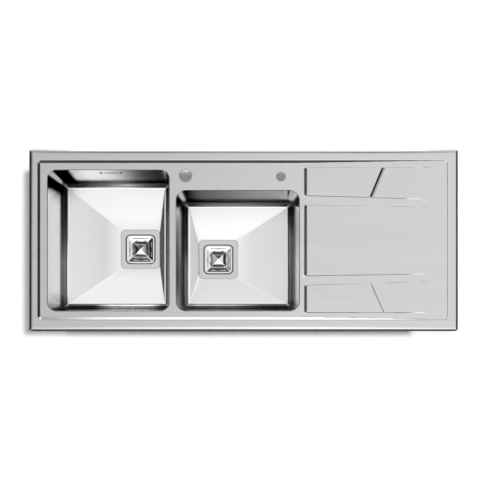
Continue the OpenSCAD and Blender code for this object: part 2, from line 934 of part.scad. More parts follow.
// Plastic body under the bowl, with a port that looks towards the overflow pipe
module waste_body(at, angle) {
    shell_half = hole_half + body_wall;
    color(plastic) {
        difference() {
            union() {
                square_prism(at, body_half, flange_corner, seal_under - body_flange_t, seal_under);
                square_prism(at, shell_half, hole_corner + body_wall, chamber_top - body_wall, seal_under);
                translate([at.x, at.y, chamber_z])
                    cylinder(r = chamber_r + body_wall, h = chamber_top - chamber_z);
                translate([at.x, at.y, outlet_top])
                    cylinder(r1 = outlet_r, r2 = chamber_r + body_wall, h = funnel_h);
                translate([at.x, at.y, outlet_z]) cylinder(r = outlet_r, h = outlet_l + 1);
                translate([at.x, at.y, pipe_z])
                    rotate([0, 90, angle])
                        cylinder(r = port_r, h = port_end);
            }
            square_prism(at, hole_half, hole_corner, chamber_top, seal_under + 1);
            translate([at.x, at.y, chamber_z]) cylinder(r = chamber_r, h = chamber_top - chamber_z + 1);
            translate([at.x, at.y, outlet_top])
                cylinder(r1 = outlet_r - body_wall, r2 = chamber_r, h = funnel_h + 0.01);
            translate([at.x, at.y, outlet_z - 1]) cylinder(r = outlet_r - body_wall, h = outlet_l + 2);
            translate([at.x, at.y, pipe_z])
                rotate([0, 90, angle])
                    cylinder(r = pipe_r + play, h = port_end + 1);
        }
        difference() {
            translate([at.x, at.y, outlet_top]) {
                cylinder(r = boss_r, h = boss_body);
                for (turn = [0, 120, 240])
                    rotate([0, 0, angle + 60 + turn])
                        translate([0, -rib_t / 2, 0])
                            cube([outlet_r - body_wall + 1, rib_t, rib_h]);
            }
            translate([at.x, at.y, outlet_top - 1]) cylinder(r = screw_r + play, h = boss_body + 2);
        }
    }
}

module waste_screw(at) {
    shank_z = outlet_top + 2;
    slit_w = 1.6;
    slit_depth = 1.5;
    color(polished)
        translate([at.x, at.y, 0])
            difference() {
                union() {
                    translate([0, 0, cup_z]) cylinder(r = head_r, h = head_h);
                    translate([0, 0, shank_z]) cylinder(r = screw_r, h = cup_z - shank_z + 1);
                }
                translate([-head_r, -slit_w / 2, cup_z + head_h - slit_depth])
                    cube([2 * head_r, slit_w, slit_depth + 1]);
            }
}

// Baskets

module slot_cutter(l) {
    linear_extrude(cut) {
        translate([-slot_w / 2, slot_w / 2 - l / 2]) square([slot_w, l - slot_w]);
        for (side = [-1, 1])
            translate([0, side * (l - slot_w) / 2]) circle(r = slot_w / 2, $fn = 24);
    }
}

module basket(at) {
    corner = dish_corner - 2;
    edge_corner = corner - basket_edge;
    inner_corner = knob_corner + knob_room;
    windows = 8;
    window_w = 8;
    sill = 2;
    color(polished)
        difference() {
            union() {
                loft([
                    raised(square_outline(at, slope_in, inner_corner), pan_low - basket_t),
                    raised(square_outline(at, slope_out, edge_corner), pan_z - basket_t),
                    raised(square_outline(at, pan_half, corner), pan_z - basket_t),
                    raised(square_outline(at, pan_half, corner), pan_z),
                    raised(square_outline(at, slope_out, edge_corner), pan_z),
                    raised(square_outline(at, slope_in, inner_corner), pan_low)
                ]);
                translate([at.x, at.y, basket_floor])
                    cylinder(r = skirt_r, h = basket_floor_t);
                difference() {
                    translate([at.x, at.y, basket_floor])
                        tube(skirt_r, skirt_r - basket_t, pan_low - basket_floor + basket_t);
                    loft([
                        raised(square_outline(at, slope_in, inner_corner), pan_low - basket_t / 2),
                        raised(square_outline(at, slope_out, edge_corner), pan_z - basket_t / 2)
                    ]);
                }
            }
            translate([at.x, at.y, basket_floor - 1])
                cylinder(r = stem_r + play, h = pan_z - basket_floor + 2);
            translate([at.x, at.y, pan_z - cut / 2])
                for (turn = [0:90:270])
                    rotate([0, 0, turn]) {
                        translate([inner_slot_at, 0, 0]) slot_cutter(inner_slot_l);
                        translate([outer_slot_at, 0, 0]) slot_cutter(outer_slot_l);
                    }
            translate([at.x, at.y, basket_floor + basket_floor_t + sill])
                for (k = [0:windows / 2 - 1])
                    rotate([0, 0, 360 * (k + 0.5) / windows])
                        translate([-cut - skirt_r, -window_w / 2, 0])
                            cube([2 * (cut + skirt_r), window_w, (pan_low - basket_floor) / 2]);
        }
}

module basket_knob(at) {
    base_h = 5;
    tip_half = 1.5;
    color(polished) {
        loft([
            raised(square_outline(at, knob_half, knob_corner), pan_low),
            raised(square_outline(at, knob_half, knob_corner), pan_low + base_h),
            raised(square_outline(at, tip_half, 1), pan_low + base_h + knob_h)
        ]);
        translate([at.x, at.y, basket_floor]) cylinder(r = stem_r, h = pan_low - basket_floor + 1);
    }
}

module basket_seal(at) {
    under_skirt = 5;
    color(rubber)
        translate([at.x, at.y, basket_floor - seal_h])
            tube(cup_r - seal_room, skirt_r - under_skirt, seal_h);
}

// Overflow

// Children drawn on the outside of the left bowl's back wall, with +Y out of the wall
module on_overflow_wall() {
    translate(overflow_at) rotate([-wall_angle, 0, 0]) children();
}

module overflow_slot(l, h, from, to) {
    translate([0, to, 0])
        rotate([90, 0, 0])
            linear_extrude(to - from)
                rounded_box([-l / 2, -h / 2], [l / 2, h / 2], h / 2 - 0.01);
}

module overflow_ears(r, from, to) {
    for (side = [-1, 1])
        translate([side * ear_at, to, 0])
            rotate([90, 0, 0])
                cylinder(r = r, h = to - from);
}

module overflow_gasket() {
    color(rubber)
        on_overflow_wall()
            difference() {
                translate([-housing_l / 2, play, -housing_h / 2])
                    cube([housing_l, overflow_gasket_t - play, housing_h]);
                overflow_slot(overflow_l, overflow_h, -1, overflow_gasket_t + 1);
                overflow_ears(overflow_screw_r + play, -1, overflow_gasket_t + 1);
            }
}

module overflow_housing() {
    block_out = 2;
    block_l = overflow_l + 2 * block_out;
    block_drop = 4;
    cavity_l = block_l - 2 * body_wall;
    cavity_end = housing_w - body_wall;
    flange_end = overflow_gasket_t + housing_flange_t;
    color(plastic)
        difference() {
            union() {
                on_overflow_wall()
                    translate([0, overflow_gasket_t, -housing_h / 2]) {
                        translate([-housing_l / 2, 0, 0]) cube([housing_l, housing_flange_t, housing_h]);
                        translate([-block_l / 2, 0, -block_drop])
                            cube([block_l, housing_w - overflow_gasket_t, housing_h + block_drop]);
                    }
                translate([pipe_at.x, pipe_at.y, socket_z])
                    cylinder(r = port_r, h = overflow_z - socket_z);
            }
            on_overflow_wall() {
                overflow_slot(cavity_l, overflow_h, 0, cavity_end);
                overflow_ears(overflow_screw_r - play, 0, screw_reach + 1);
                translate([-cavity_l / 2, flange_end, -housing_h / 2])
                    cube([cavity_l, cavity_end - flange_end, housing_h - body_wall]);
            }
            translate([pipe_at.x, pipe_at.y, socket_z - 1])
                cylinder(r = pipe_r + play, h = overflow_z - socket_z);
        }
}

module overflow_screws() {
    head_t = 2.3;
    inside = -sheet - play;
    color(polished)
        on_overflow_wall() {
            overflow_ears(overflow_screw_r - 2 * play, inside - head_t / 2, screw_reach);
            overflow_ears(2 * overflow_screw_r, inside - head_t, inside);
        }
}

// Quarter bend that starts downwards at its own zero and ends along +X
module pipe_elbow(r) {
    translate([pipe_bend, 0, 0])
        rotate([90, 0, 0])
            rotate([0, 0, 180])
                rotate_extrude(angle = 90)
                    translate([pipe_bend, 0])
                        circle(r = r);
}

module pipe_run(r, extra) {
    top = socket_z + pipe_in;
    bend_z = pipe_z + pipe_bend;
    run = norm(to_pipe) - pipe_bend - port_end + pipe_in;
    translate([pipe_at.x, pipe_at.y, 0])
        rotate([0, 0, port_angle + 180]) {
            translate([0, 0, bend_z]) cylinder(r = r, h = top - bend_z + extra);
            translate([0, 0, bend_z]) pipe_elbow(r);
            translate([pipe_bend, 0, pipe_z]) rotate([0, 90, 0]) cylinder(r = r, h = run + extra);
        }
}

module overflow_pipe() {
    color(plastic)
        difference() {
            pipe_run(pipe_r, 0);
            pipe_run(pipe_r - pipe_wall, 1);
        }
}

module union_nut() {
    grips = 12;
    grip_r = 1;
    difference() {
        union() {
            cylinder(r = nut_r, h = nut_h);
            for (k = [0:grips - 1])
                rotate([0, 0, 360 * k / grips])
                    translate([nut_r, 0, 0])
                        cylinder(r = grip_r, h = nut_h, $fn = 16);
        }
        translate([0, 0, -1]) cylinder(r = pipe_r + play, h = nut_h + 2);
    }
}

module overflow_nuts() {
    color(plastic) {
        translate([pipe_at.x, pipe_at.y, socket_z - nut_h]) union_nut();
        translate([left_waste.x, left_waste.y, pipe_z])
            rotate([0, 0, port_angle])
                translate([port_end, 0, 0])
                    rotate([0, 90, 0])
                        union_nut();
    }
}

// Cap that shuts the port that the right waste doesn't use
module port_cap_right() {
    plug_l = 8;
    cap_t = 4;
    cap_lip = 1.5;
    color(plastic)
        translate([right_waste.x, right_waste.y, pipe_z])
            rotate([0, 0, port_angle])
                translate([port_end, 0, 0])
                    rotate([0, 90, 0]) {
                        cylinder(r = port_r + cap_lip, h = cap_t);
                        translate([0, 0, -plug_l]) cylinder(r = pipe_r, h = plug_l + 1);
                    }
}

deck();
bowl_left();
bowl(right_bowl);  // bowl_right
tap_ledge_plate();
rim_seal();
sound_deadener(left_bowl);  // sound_deadener_left
sound_deadener(right_bowl);  // sound_deadener_right
sound_deadener_drainer();
drainer_braces();
earth_tag();
earth_screw();
clip_brackets();
clip_nuts();
clip_screws();
clip_claw(clips[0]);  // clip_claw_1
clip_claw(clips[1]);  // clip_claw_2
clip_claw(clips[2]);  // clip_claw_3
clip_claw(clips[3]);  // clip_claw_4
clip_claw(clips[4]);  // clip_claw_5
clip_claw(clips[5]);  // clip_claw_6
clip_claw(clips[6]);  // clip_claw_7
clip_claw(clips[7]);  // clip_claw_8
waste_flange(left_waste);  // waste_flange_left
waste_gasket(left_waste);  // waste_gasket_left
waste_seal(left_waste);  // waste_seal_left
waste_body(left_waste, port_angle);  // waste_body_left
waste_screw(left_waste);  // waste_screw_left
waste_flange(right_waste);  // waste_flange_right
waste_gasket(right_waste);  // waste_gasket_right
waste_seal(right_waste);  // waste_seal_right
waste_body(right_waste, port_angle);  // waste_body_right
waste_screw(right_waste);  // waste_screw_right
basket(left_waste);  // basket_left
basket_knob(left_waste);  // basket_knob_left
basket_seal(left_waste);  // basket_seal_left
basket(right_waste);  // basket_right
basket_knob(right_waste);  // basket_knob_right
basket_seal(right_waste);  // basket_seal_right
overflow_gasket();
overflow_housing();
overflow_screws();
overflow_pipe();
overflow_nuts();
port_cap_right();
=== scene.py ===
# %% [markdown]
# # Inset kitchen sink with two bowls and a drainer
# A pressed steel sink that drops into a cut-out in a worktop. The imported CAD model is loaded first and
# stays as it is: it is the fixed frame, and every piece below is made in the same place and at the same
# size. Lengths in this lesson are written in millimetres, as on a drawing, and become metres only when a
# mesh is made.

# %% The fixed frame
import math

import bmesh
import bpy
import numpy as np
from mathutils import Matrix, Vector
from mathutils.geometry import delaunay_2d_cdt


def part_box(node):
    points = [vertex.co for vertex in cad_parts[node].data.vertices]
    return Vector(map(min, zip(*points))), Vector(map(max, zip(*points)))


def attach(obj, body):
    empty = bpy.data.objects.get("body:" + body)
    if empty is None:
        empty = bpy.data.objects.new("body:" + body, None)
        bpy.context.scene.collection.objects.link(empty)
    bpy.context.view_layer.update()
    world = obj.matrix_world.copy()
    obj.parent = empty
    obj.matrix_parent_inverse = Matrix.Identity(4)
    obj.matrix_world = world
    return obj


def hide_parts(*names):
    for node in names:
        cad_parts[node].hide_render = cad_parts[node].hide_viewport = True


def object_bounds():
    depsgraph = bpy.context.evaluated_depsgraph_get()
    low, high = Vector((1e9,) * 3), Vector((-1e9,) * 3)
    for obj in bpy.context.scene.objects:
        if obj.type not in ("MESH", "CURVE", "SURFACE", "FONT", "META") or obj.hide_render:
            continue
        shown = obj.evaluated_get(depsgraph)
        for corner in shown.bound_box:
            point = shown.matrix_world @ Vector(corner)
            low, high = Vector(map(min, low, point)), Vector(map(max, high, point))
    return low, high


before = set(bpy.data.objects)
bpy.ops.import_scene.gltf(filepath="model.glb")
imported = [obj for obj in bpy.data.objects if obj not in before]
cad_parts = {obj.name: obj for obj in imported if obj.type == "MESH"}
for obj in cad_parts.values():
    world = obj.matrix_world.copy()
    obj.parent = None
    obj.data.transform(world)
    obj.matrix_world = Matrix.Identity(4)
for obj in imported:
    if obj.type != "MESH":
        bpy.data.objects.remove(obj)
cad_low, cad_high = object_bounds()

MM = 0.001
print("CAD box in mm:", [round(v / MM, 1) for v in (*cad_low, *cad_high)])

# %% [markdown]
# ## Camera
# The photograph looks straight down, but from over the front edge: the back walls of the bowls show and the
# front ones don't. So the camera points straight down from there, and a vertical lens shift brings the sink
# back to the middle of the picture, as a view camera does. Nothing in the picture then leans.

# %% Camera
scene = bpy.context.scene
CAMERA_AT = Vector((-0.007, -0.238, 2.624))
LENS = 71.15
SHIFT_UP = 0.178

camera = bpy.data.objects.new("camera", bpy.data.cameras.new("camera"))
scene.collection.objects.link(camera)
camera.location = CAMERA_AT
camera.data.lens = LENS
camera.data.shift_y = SHIFT_UP
camera.data.clip_end = 50.0
scene.camera = camera
scene.view_settings.view_transform = "Standard"
print("camera", tuple(CAMERA_AT), "lens", LENS, "shift", SHIFT_UP)

# %% [markdown]
# ## Making materials and meshes
# Every material here is a small network of nodes. One helper adds a node, sets its values and joins its
# inputs, so that each material reads as a list of what it is made of. The same helper serves the Geometry
# Nodes trees later.

# %% Node helper
def add(tree, kind, inputs=None, **settings):
    """Adds a node. Inputs are values, or other nodes' output sockets, which are joined."""
    node = tree.nodes.new(kind)
    for key, value in settings.items():
        setattr(node, key, value)
    for key, value in (inputs or {}).items():
        if isinstance(value, bpy.types.NodeSocket):
            tree.links.new(value, node.inputs[key])
        else:
            node.inputs[key].default_value = value
    return node


def grey(level):
    """A grey, as a colour socket holds it."""
    return (level, level, level, 1.0)


def start_material(name):
    """A new material with its nodes cleared, and its tree."""
    material = bpy.data.materials.new(name)
    material.use_nodes = True
    material.node_tree.nodes.clear()
    return material, material.node_tree


print("a mid grey:", grey(0.5))

# %% [markdown]
# ## Floor and light
# Steel has no colour of its own to speak of: it shows what stands round it. So the sink gets a studio: a
# bright tent, a soft box behind it and a bright strip in front of it. Dark cards on all four sides give the
# rim and the steps their dark lines, and mid-grey cards below them keep the deck from going black or white
# when it is seen from low down. The world is the tent, an area lamp is the soft box, and the cards and the
# strip are curved sheets that glow, stage pieces that neither the camera nor matt surfaces see. Two suns,
# which no mirror shows, draw the soft shadow. The floor is open from below, so that the underside can be
# seen. A picture of a room on the world would light the sink too, but a built room needs no file and each
# line in the steel can be moved by moving one card.

# %% Floor
FLOOR_Z = cad_low.z - 0.0005
FLOOR_HALF = 9.0
FLOOR_PALE = 0.86
FLOOR_GLOW = 0.06


def seen_directly(tree):
    """1 for rays of the camera, of mirrors and of glass, and 0 for those that light matt surfaces."""
    path = add(tree, "ShaderNodeLightPath").outputs
    direct = {0: path["Is Camera Ray"], 1: path["Is Glossy Ray"]}
    seen = add(tree, "ShaderNodeMath", direct, operation="MAXIMUM")
    either = {0: seen.outputs[0], 1: path["Is Transmission Ray"]}
    return add(tree, "ShaderNodeMath", either, operation="MAXIMUM").outputs[0]


def floor_material():
    """Matt white that glows a little where it is seen, takes the shadow and is open from below."""
    material, tree = start_material("studio_floor")
    matt = add(tree, "ShaderNodeBsdfDiffuse", {"Color": grey(FLOOR_PALE)})
    glow = add(tree, "ShaderNodeEmission", {"Color": grey(1.0), "Strength": FLOOR_GLOW})
    both = add(tree, "ShaderNodeAddShader", {0: matt.outputs[0], 1: glow.outputs[0]})
    seen = seen_directly(tree)
    mix = add(tree, "ShaderNodeMixShader", {"Fac": seen, 1: matt.outputs[0], 2: both.outputs[0]})
    side = add(tree, "ShaderNodeNewGeometry").outputs["Backfacing"]
    clear = add(tree, "ShaderNodeBsdfTransparent")
    open_below = add(tree, "ShaderNodeMixShader", {"Fac": side, 1: mix.outputs[0], 2: clear.outputs[0]})
    add(tree, "ShaderNodeOutputMaterial", {"Surface": open_below.outputs[0]})
    return material


floor_mesh = bpy.data.meshes.new("studio_floor")
h = FLOOR_HALF
floor_corners = [(x, y, FLOOR_Z) for x, y in ((-h, -h), (h, -h), (h, h), (-h, h))]
floor_mesh.from_pydata(floor_corners, [], [(0, 1, 2, 3)])
floor_mesh.materials.append(floor_material())
floor = bpy.data.objects.new("studio_floor", floor_mesh)
scene.collection.objects.link(floor)
print("floor at z", round(FLOOR_Z, 4))

# %% World
TENT_SEEN = 1.0
TENT_LIGHT = 0.27
TENT_COLOUR = (0.985, 0.992, 1.0, 1.0)
world = bpy.data.worlds.new("studio_tent")
world.use_nodes = True
tent = world.node_tree
tent.nodes.clear()
levels = {"Value": seen_directly(tent), "To Min": TENT_LIGHT, "To Max": TENT_SEEN}
strength = add(tent, "ShaderNodeMapRange", levels).outputs["Result"]
glow = add(tent, "ShaderNodeBackground", {"Color": TENT_COLOUR, "Strength": strength})
add(tent, "ShaderNodeOutputWorld", {"Surface": glow.outputs[0]})
scene.world = world
print("tent is seen at", TENT_SEEN, "and lights at", TENT_LIGHT)

# %% Soft box and cards
def direction(azimuth, zenith):
    """Unit vector. Azimuth 0 is +X and 90 is +Y; zenith 0 is straight up."""
    a, z = math.radians(azimuth), math.radians(zenith)
    return Vector((math.cos(a) * math.sin(z), math.sin(a) * math.sin(z), math.cos(z)))


def soft_box(name, azimuth, zenith, distance, size, watts):
    """Area lamp that faces the sink and shows in the steel only."""
    lamp = bpy.data.lights.new(name, "AREA")
    lamp.shape = "RECTANGLE"
    lamp.size, lamp.size_y = size
    lamp.energy = watts
    box = bpy.data.objects.new(name, lamp)
    scene.collection.objects.link(box)
    box.location = direction(azimuth, zenith) * distance
    box.rotation_euler = (-box.location).to_track_quat("-Z", "Y").to_euler()
    box.visible_diffuse = False


CARD_AWAY = 8.0
CARD_STEPS = 12


def card(name, azimuths, zeniths, level):
    """Curved card on a sphere round the sink, between two azimuths and two zenith angles."""
    row = CARD_STEPS + 1
    verts = []
    for j in range(row):
        zenith = zeniths[0] + (zeniths[1] - zeniths[0]) * j / CARD_STEPS
        for i in range(row):
            azimuth = azimuths[0] + (azimuths[1] - azimuths[0]) * i / CARD_STEPS
            verts.append(direction(azimuth, zenith) * CARD_AWAY)
    firsts = [j * row + i for j in range(CARD_STEPS) for i in range(CARD_STEPS)]
    faces = [(k, k + 1, k + row + 1, k + row) for k in firsts]
    material, tree = start_material(name)
    glow = add(tree, "ShaderNodeEmission", {"Color": grey(1.0), "Strength": level})
    add(tree, "ShaderNodeOutputMaterial", {"Surface": glow.outputs[0]})
    mesh = bpy.data.meshes.new(name)
    mesh.from_pydata(verts, [], faces)
    mesh.materials.append(material)
    shade = bpy.data.objects.new(name, mesh)
    scene.collection.objects.link(shade)
    shade.visible_camera = False
    shade.visible_diffuse = False
    shade.visible_shadow = False


soft_box("soft_box_back", azimuth=90, zenith=58, distance=3.0, size=(2.0, 0.9), watts=8)
# Each card: its azimuths and zenith angles, from and to, and how bright it is
CARDS = {
    "card_right": ((-36, 38), (38, 66), 0.02),
    "card_right_low": ((-44, 44), (66, 94), 0.5),
    "card_left": ((144, 216), (30, 66), 0.03),
    "card_left_low": ((136, 224), (66, 94), 0.5),
    "card_back_high": ((58, 122), (24, 44), 0.10),
    "card_back_low": ((44, 136), (62, 94), 0.5),
    "card_front": ((238, 302), (37, 60), 0.08),
    "card_front_low": ((224, 316), (60, 94), 0.5),
    "strip_front": ((224, 316), (8, 34), 1.7),
}
for name, (azimuths, zeniths, level) in CARDS.items():
    card(name, azimuths, zeniths, level)
print("cards:", list(CARDS))

# %% Shadow lamps
# The lamps that draw the soft shadow at the left and along the front: azimuth, zenith angle and strength
SHADOW_LAMPS = {"shadow_lamp_right": (9, 15.8, 2.5), "shadow_lamp_left": (162, 11.0, 0.4)}
SHADOW_LAMP_ANGLE = 4.5
for name, (azimuth, zenith, energy) in SHADOW_LAMPS.items():
    sun = bpy.data.objects.new(name, bpy.data.lights.new(name, "SUN"))
    scene.collection.objects.link(sun)
    sun.rotation_euler = (-direction(azimuth, zenith)).to_track_quat("-Z", "Y").to_euler()
    sun.data.angle = math.radians(SHADOW_LAMP_ANGLE)
    sun.data.energy = energy
    sun.visible_glossy = False

# %% [markdown]
# ## Satin steel and the other finishes
# A satin finish is a field of fine scratches that all run one way. A noise texture squeezed hard in two
# directions and stretched in the third gives such scratches; a little of it goes into the bump, a little
# into the roughness and a trace into the colour. The pattern reads Object coordinates, so it stays on the
# steel in every view. The shader's own anisotropy would stretch the highlights, but it shows no single
# scratch, so the scratches are drawn.

# %% Patterns and colours
def scratches(tree, stretch, detail=3.0):
    """Noise stretched along the brushing direction. Returns its factor socket."""
    where = add(tree, "ShaderNodeTexCoord")
    mapped = add(tree, "ShaderNodeMapping", {"Vector": where.outputs["Object"], "Scale": stretch})
    looks = {"Vector": mapped.outputs["Vector"], "Scale": 1.0, "Detail": detail, "Roughness": 0.6}
    return add(tree, "ShaderNodeTexNoise", looks).outputs["Fac"]


def spread(tree, factor, low, high):
    """Maps a factor from 0.3...0.7 to low...high."""
    ends = {"Value": factor, "From Min": 0.3, "From Max": 0.7, "To Min": low, "To Max": high}
    return add(tree, "ShaderNodeMapRange", ends).outputs["Result"]


def shaded(colour, share):
    """A share of a colour, with the fourth value that a colour socket holds."""
    return (*(c * share for c in colour), 1.0)


def mixed(tree, factor, first, second, blend="MIX"):
    """Mixes two colours, each of them a value or a socket."""
    inputs = {"Factor": factor, 6: first, 7: second}
    return add(tree, "ShaderNodeMix", inputs, data_type="RGBA", blend_type=blend).outputs[2]


print("nine tenths of a grey:", shaded((0.5, 0.5, 0.5), 0.9))

# %% Metal
SATIN_ROUGHNESS = 0.10
SCRATCH_DEPTH = 0.0004


def metal(name, colour, roughness, stretch, bump=0.03, mottle=0.04, cloud_size=(7.0, 7.0, 7.0), with_painted_shade=False):
    """
    Steel or plated metal, brushed along the direction with the small stretch. Where asked, two attributes add
    to it: one is painted shade, which darkens the colour and the reflection at grazing angles; satin roughens
    it.
    """
    material, tree = start_material(name)
    grain = scratches(tree, stretch)
    cloud = scratches(tree, cloud_size, 2.0)
    cloudy = mixed(tree, spread(tree, cloud, 0.0, 1.0), shaded(colour, 1.0 - mottle), shaded(colour, 1.0))
    base = mixed(tree, spread(tree, grain, 0.0, 1.0), shaded(colour, 1.0 - 1.5 * mottle), cloudy)
    rough = spread(tree, grain, roughness * 0.85, roughness * 1.15)
    if with_painted_shade:
        # Painted shade: an attribute darkens the colour here and, through the specular tint, the reflection
        # at grazing angles
        painted_shade = add(tree, "ShaderNodeAttribute", attribute_name="painted_shade").outputs["Color"]
        base = mixed(tree, 1.0, base, painted_shade, "MULTIPLY")
        satin = add(tree, "ShaderNodeAttribute", attribute_name="satin").outputs["Fac"]
        roughened = {0: satin, 1: SATIN_ROUGHNESS, 2: rough}
        rough = add(tree, "ShaderNodeMath", roughened, operation="MULTIPLY_ADD").outputs[0]
    height = add(tree, "ShaderNodeBump", {"Height": grain, "Strength": bump, "Distance": SCRATCH_DEPTH})
    surface = add(tree, "ShaderNodeBsdfPrincipled", {
        "Base Color": base,
        "Metallic": 1.0,
        "Roughness": rough,
        "Normal": height.outputs["Normal"],
    })
    if with_painted_shade:
        tree.links.new(painted_shade, surface.inputs["Specular Tint"])
    add(tree, "ShaderNodeOutputMaterial", {"Surface": surface.outputs[0]})
    return material


print("full satin adds", SATIN_ROUGHNESS, "to the roughness")

# %% The metals of the sink
# How often the pattern repeats in a metre along X, Y and Z: less along X makes it run along X
ALONG_X = (6.0, 900.0, 900.0)
FINE_ALONG_X = (12.0, 2200.0, 2200.0)
FINE_GRAIN = (700.0, 700.0, 700.0)
COARSE_GRAIN = (160.0, 160.0, 160.0)
LONG_CLOUDS = (0.9, 11.0, 11.0)
# Bowls and deck are one steel: the bowls' much paler colour paints the brighter light on the bowl floors
DECK_COLOUR, BOWL_COLOUR = (0.67, 0.675, 0.68), (0.97, 0.975, 0.98)
satin_deck = metal("satin_steel_deck", DECK_COLOUR, 0.18, ALONG_X, 0.03, 0.06, LONG_CLOUDS, with_painted_shade=True)
satin_bowl = metal("satin_steel_bowl", BOWL_COLOUR, 0.14, FINE_ALONG_X, bump=0.004, with_painted_shade=True)
satin_below = metal("dull_steel_underside", (0.55, 0.555, 0.56), 0.42, FINE_GRAIN, bump=0.08)
waste_steel = metal("polished_steel_waste", (0.62, 0.625, 0.63), 0.16, FINE_GRAIN, bump=0.01)
basket_chrome = metal("chrome_basket", (0.80, 0.805, 0.81), 0.09, FINE_GRAIN, bump=0.006, mottle=0.02)
zinc = metal("zinc_plate", (0.52, 0.53, 0.55), 0.34, COARSE_GRAIN, bump=0.05, mottle=0.16)
brass = metal("turned_brass", (0.72, 0.50, 0.22), 0.28, FINE_GRAIN, bump=0.02)
metals = (satin_deck, satin_bowl, satin_below, waste_steel, basket_chrome, zinc, brass)
print("metals made:", [m.name for m in metals])

# %% [markdown]
# ## Plastic, rubber and bitumen
# The parts under the bowls are moulded polypropylene, black rubber and sheets of bitumen. They are matt, so
# their look is in small unevenness: a faint orange peel on the plastic, a powdery bloom on the rubber and a
# coarse pressed grain on the bitumen.

# %% Matt finishes
PEEL_DEPTH = 0.0006
CLOUD_SCALE = 24.0


def moulded(name, colour, roughness, grain_size, bump, mottle=0.06):
    """Matt material with a fine grain, whose size is in metres, and faint clouds."""
    material, tree = start_material(name)
    where = add(tree, "ShaderNodeTexCoord").outputs["Object"]
    grain, cloud = (
        add(tree, "ShaderNodeTexNoise", {"Vector": where, "Scale": scale, "Detail": detail}).outputs["Fac"]
        for scale, detail in ((1.0 / grain_size, 4.0), (CLOUD_SCALE, 3.0))
    )
    base = mixed(tree, spread(tree, cloud, 0.0, 1.0), shaded(colour, 1.0 - mottle), shaded(colour, 1.0))
    height = add(tree, "ShaderNodeBump", {"Height": grain, "Strength": bump, "Distance": PEEL_DEPTH})
    surface = add(tree, "ShaderNodeBsdfPrincipled", {
        "Base Color": base,
        "Roughness": spread(tree, grain, roughness * 0.9, roughness * 1.1),
        "Normal": height.outputs["Normal"],
    })
    add(tree, "ShaderNodeOutputMaterial", {"Surface": surface.outputs[0]})
    return material


white_plastic = moulded("white_polypropylene", (0.80, 0.80, 0.775), 0.42, 0.0011, 0.10)
black_rubber = moulded("black_rubber", (0.026, 0.026, 0.028), 0.72, 0.0007, 0.25, mottle=0.25)
seal_rubber = moulded("sealing_strip_rubber", (0.05, 0.05, 0.054), 0.66, 0.0007, 0.25, mottle=0.2)
bitumen = moulded("bitumen_sheet", (0.055, 0.056, 0.06), 0.82, 0.0022, 0.9, mottle=0.35)
print("matt finishes made:", [m.name for m in (white_plastic, black_rubber, seal_rubber, bitumen)])

# %% [markdown]
# ## Mesh helpers
# A sink is mostly rounded rectangles stacked on one another. A ring is one such outline with a fixed number
# of points, so rings of any size can be joined point to point. A shell is a stack of rings that runs down
# one side of the sheet and back up the other, so that even a thin piece is a closed solid.

# %% Outlines
CORNER_STEPS = 12
MERGE_DISTANCE = 1e-6


def corner_ring(corners, radius, steps=10, spacing=None):
    """Outline through the corners, each rounded; spacing also divides the straight parts."""
    points = []
    count = len(corners)
    for i, corner in enumerate(corners):
        here = Vector(corner)
        to_last = (Vector(corners[i - 1]) - here).normalized()
        to_next = (Vector(corners[(i + 1) % count]) - here).normalized()
        half = math.acos(max(-1.0, min(1.0, to_last.dot(to_next)))) / 2
        centre = here + (to_last + to_next).normalized() * radius / math.sin(half)
        first = (here + to_last * radius / math.tan(half) - centre) / radius
        last = (here + to_next * radius / math.tan(half) - centre) / radius
        turn = math.pi - 2 * half
        for k in range(steps + 1):
            s = k / steps
            arm = (first * math.sin((1 - s) * turn) + last * math.sin(s * turn)) / math.sin(turn)
            points.append(tuple(centre + arm * radius))
    if spacing is None:
        return points
    divided = []
    for i, p in enumerate(points):
        q = points[(i + 1) % len(points)]
        parts = max(1, math.ceil(math.dist(p, q) / spacing))
        divided += [tuple(p[a] + (q[a] - p[a]) * k / parts for a in (0, 1)) for k in range(parts)]
    return divided


def box_ring(low, high, radius, steps=10, spacing=None):
    """Rounded rectangle between two opposite corners."""
    return corner_ring([low, (high[0], low[1]), high, (low[0], high[1])], radius, steps, spacing)


def square_ring(centre, half, radius, steps=10):
    """Rounded square round a centre."""
    low, high = (centre[0] - half, centre[1] - half), (centre[0] + half, centre[1] + half)
    return box_ring(low, high, radius, steps)


def round_ring(centre, radius, count=4 * (CORNER_STEPS + 1)):
    """Circle whose points match a square ring's, starting at the low corner."""
    turns = [math.radians(360 * (k + 0.5) / count - 180.0) for k in range(count)]
    return [(centre[0] + radius * math.cos(a), centre[1] + radius * math.sin(a)) for a in turns]


def at_height(ring, z):
    """An outline lifted to one height."""
    return [(x, y, z) for x, y in ring]


sample = square_ring((0.0, 0.0), 10.0, 2.0, CORNER_STEPS)
print("points in a square and a round outline:", len(sample), len(round_ring((0.0, 0.0), 10.0)))

# %% Shapes from outlines
def skin(rings, caps=False, loop=False):
    """Points and faces of a stack of rings with equal counts."""
    n = len(rings[0])
    points = [p for ring in rings for p in ring]
    faces = []
    for i in range(len(rings) if loop else len(rings) - 1):
        j = (i + 1) % len(rings)
        faces += [(i * n + k, i * n + (k + 1) % n, j * n + (k + 1) % n, j * n + k) for k in range(n)]
    if caps:
        faces.append(tuple(reversed(range(n))))
        faces.append(tuple((len(rings) - 1) * n + k for k in range(n)))
    return points, faces


def merged(parts):
    """One list of points and faces out of several."""
    points, faces = [], []
    for some_points, some_faces in parts:
        base = len(points)
        points += list(some_points)
        faces += [tuple(base + i for i in face) for face in some_faces]
    return points, faces


def moved(part, matrix):
    """The same points and faces, moved by a matrix."""
    points, faces = part
    return [tuple(matrix @ Vector(p)) for p in points], faces


block = skin([at_height(sample, 0.0), at_height(sample, 5.0)], caps=True)
print("a block of two outlines has", len(block[1]), "faces")

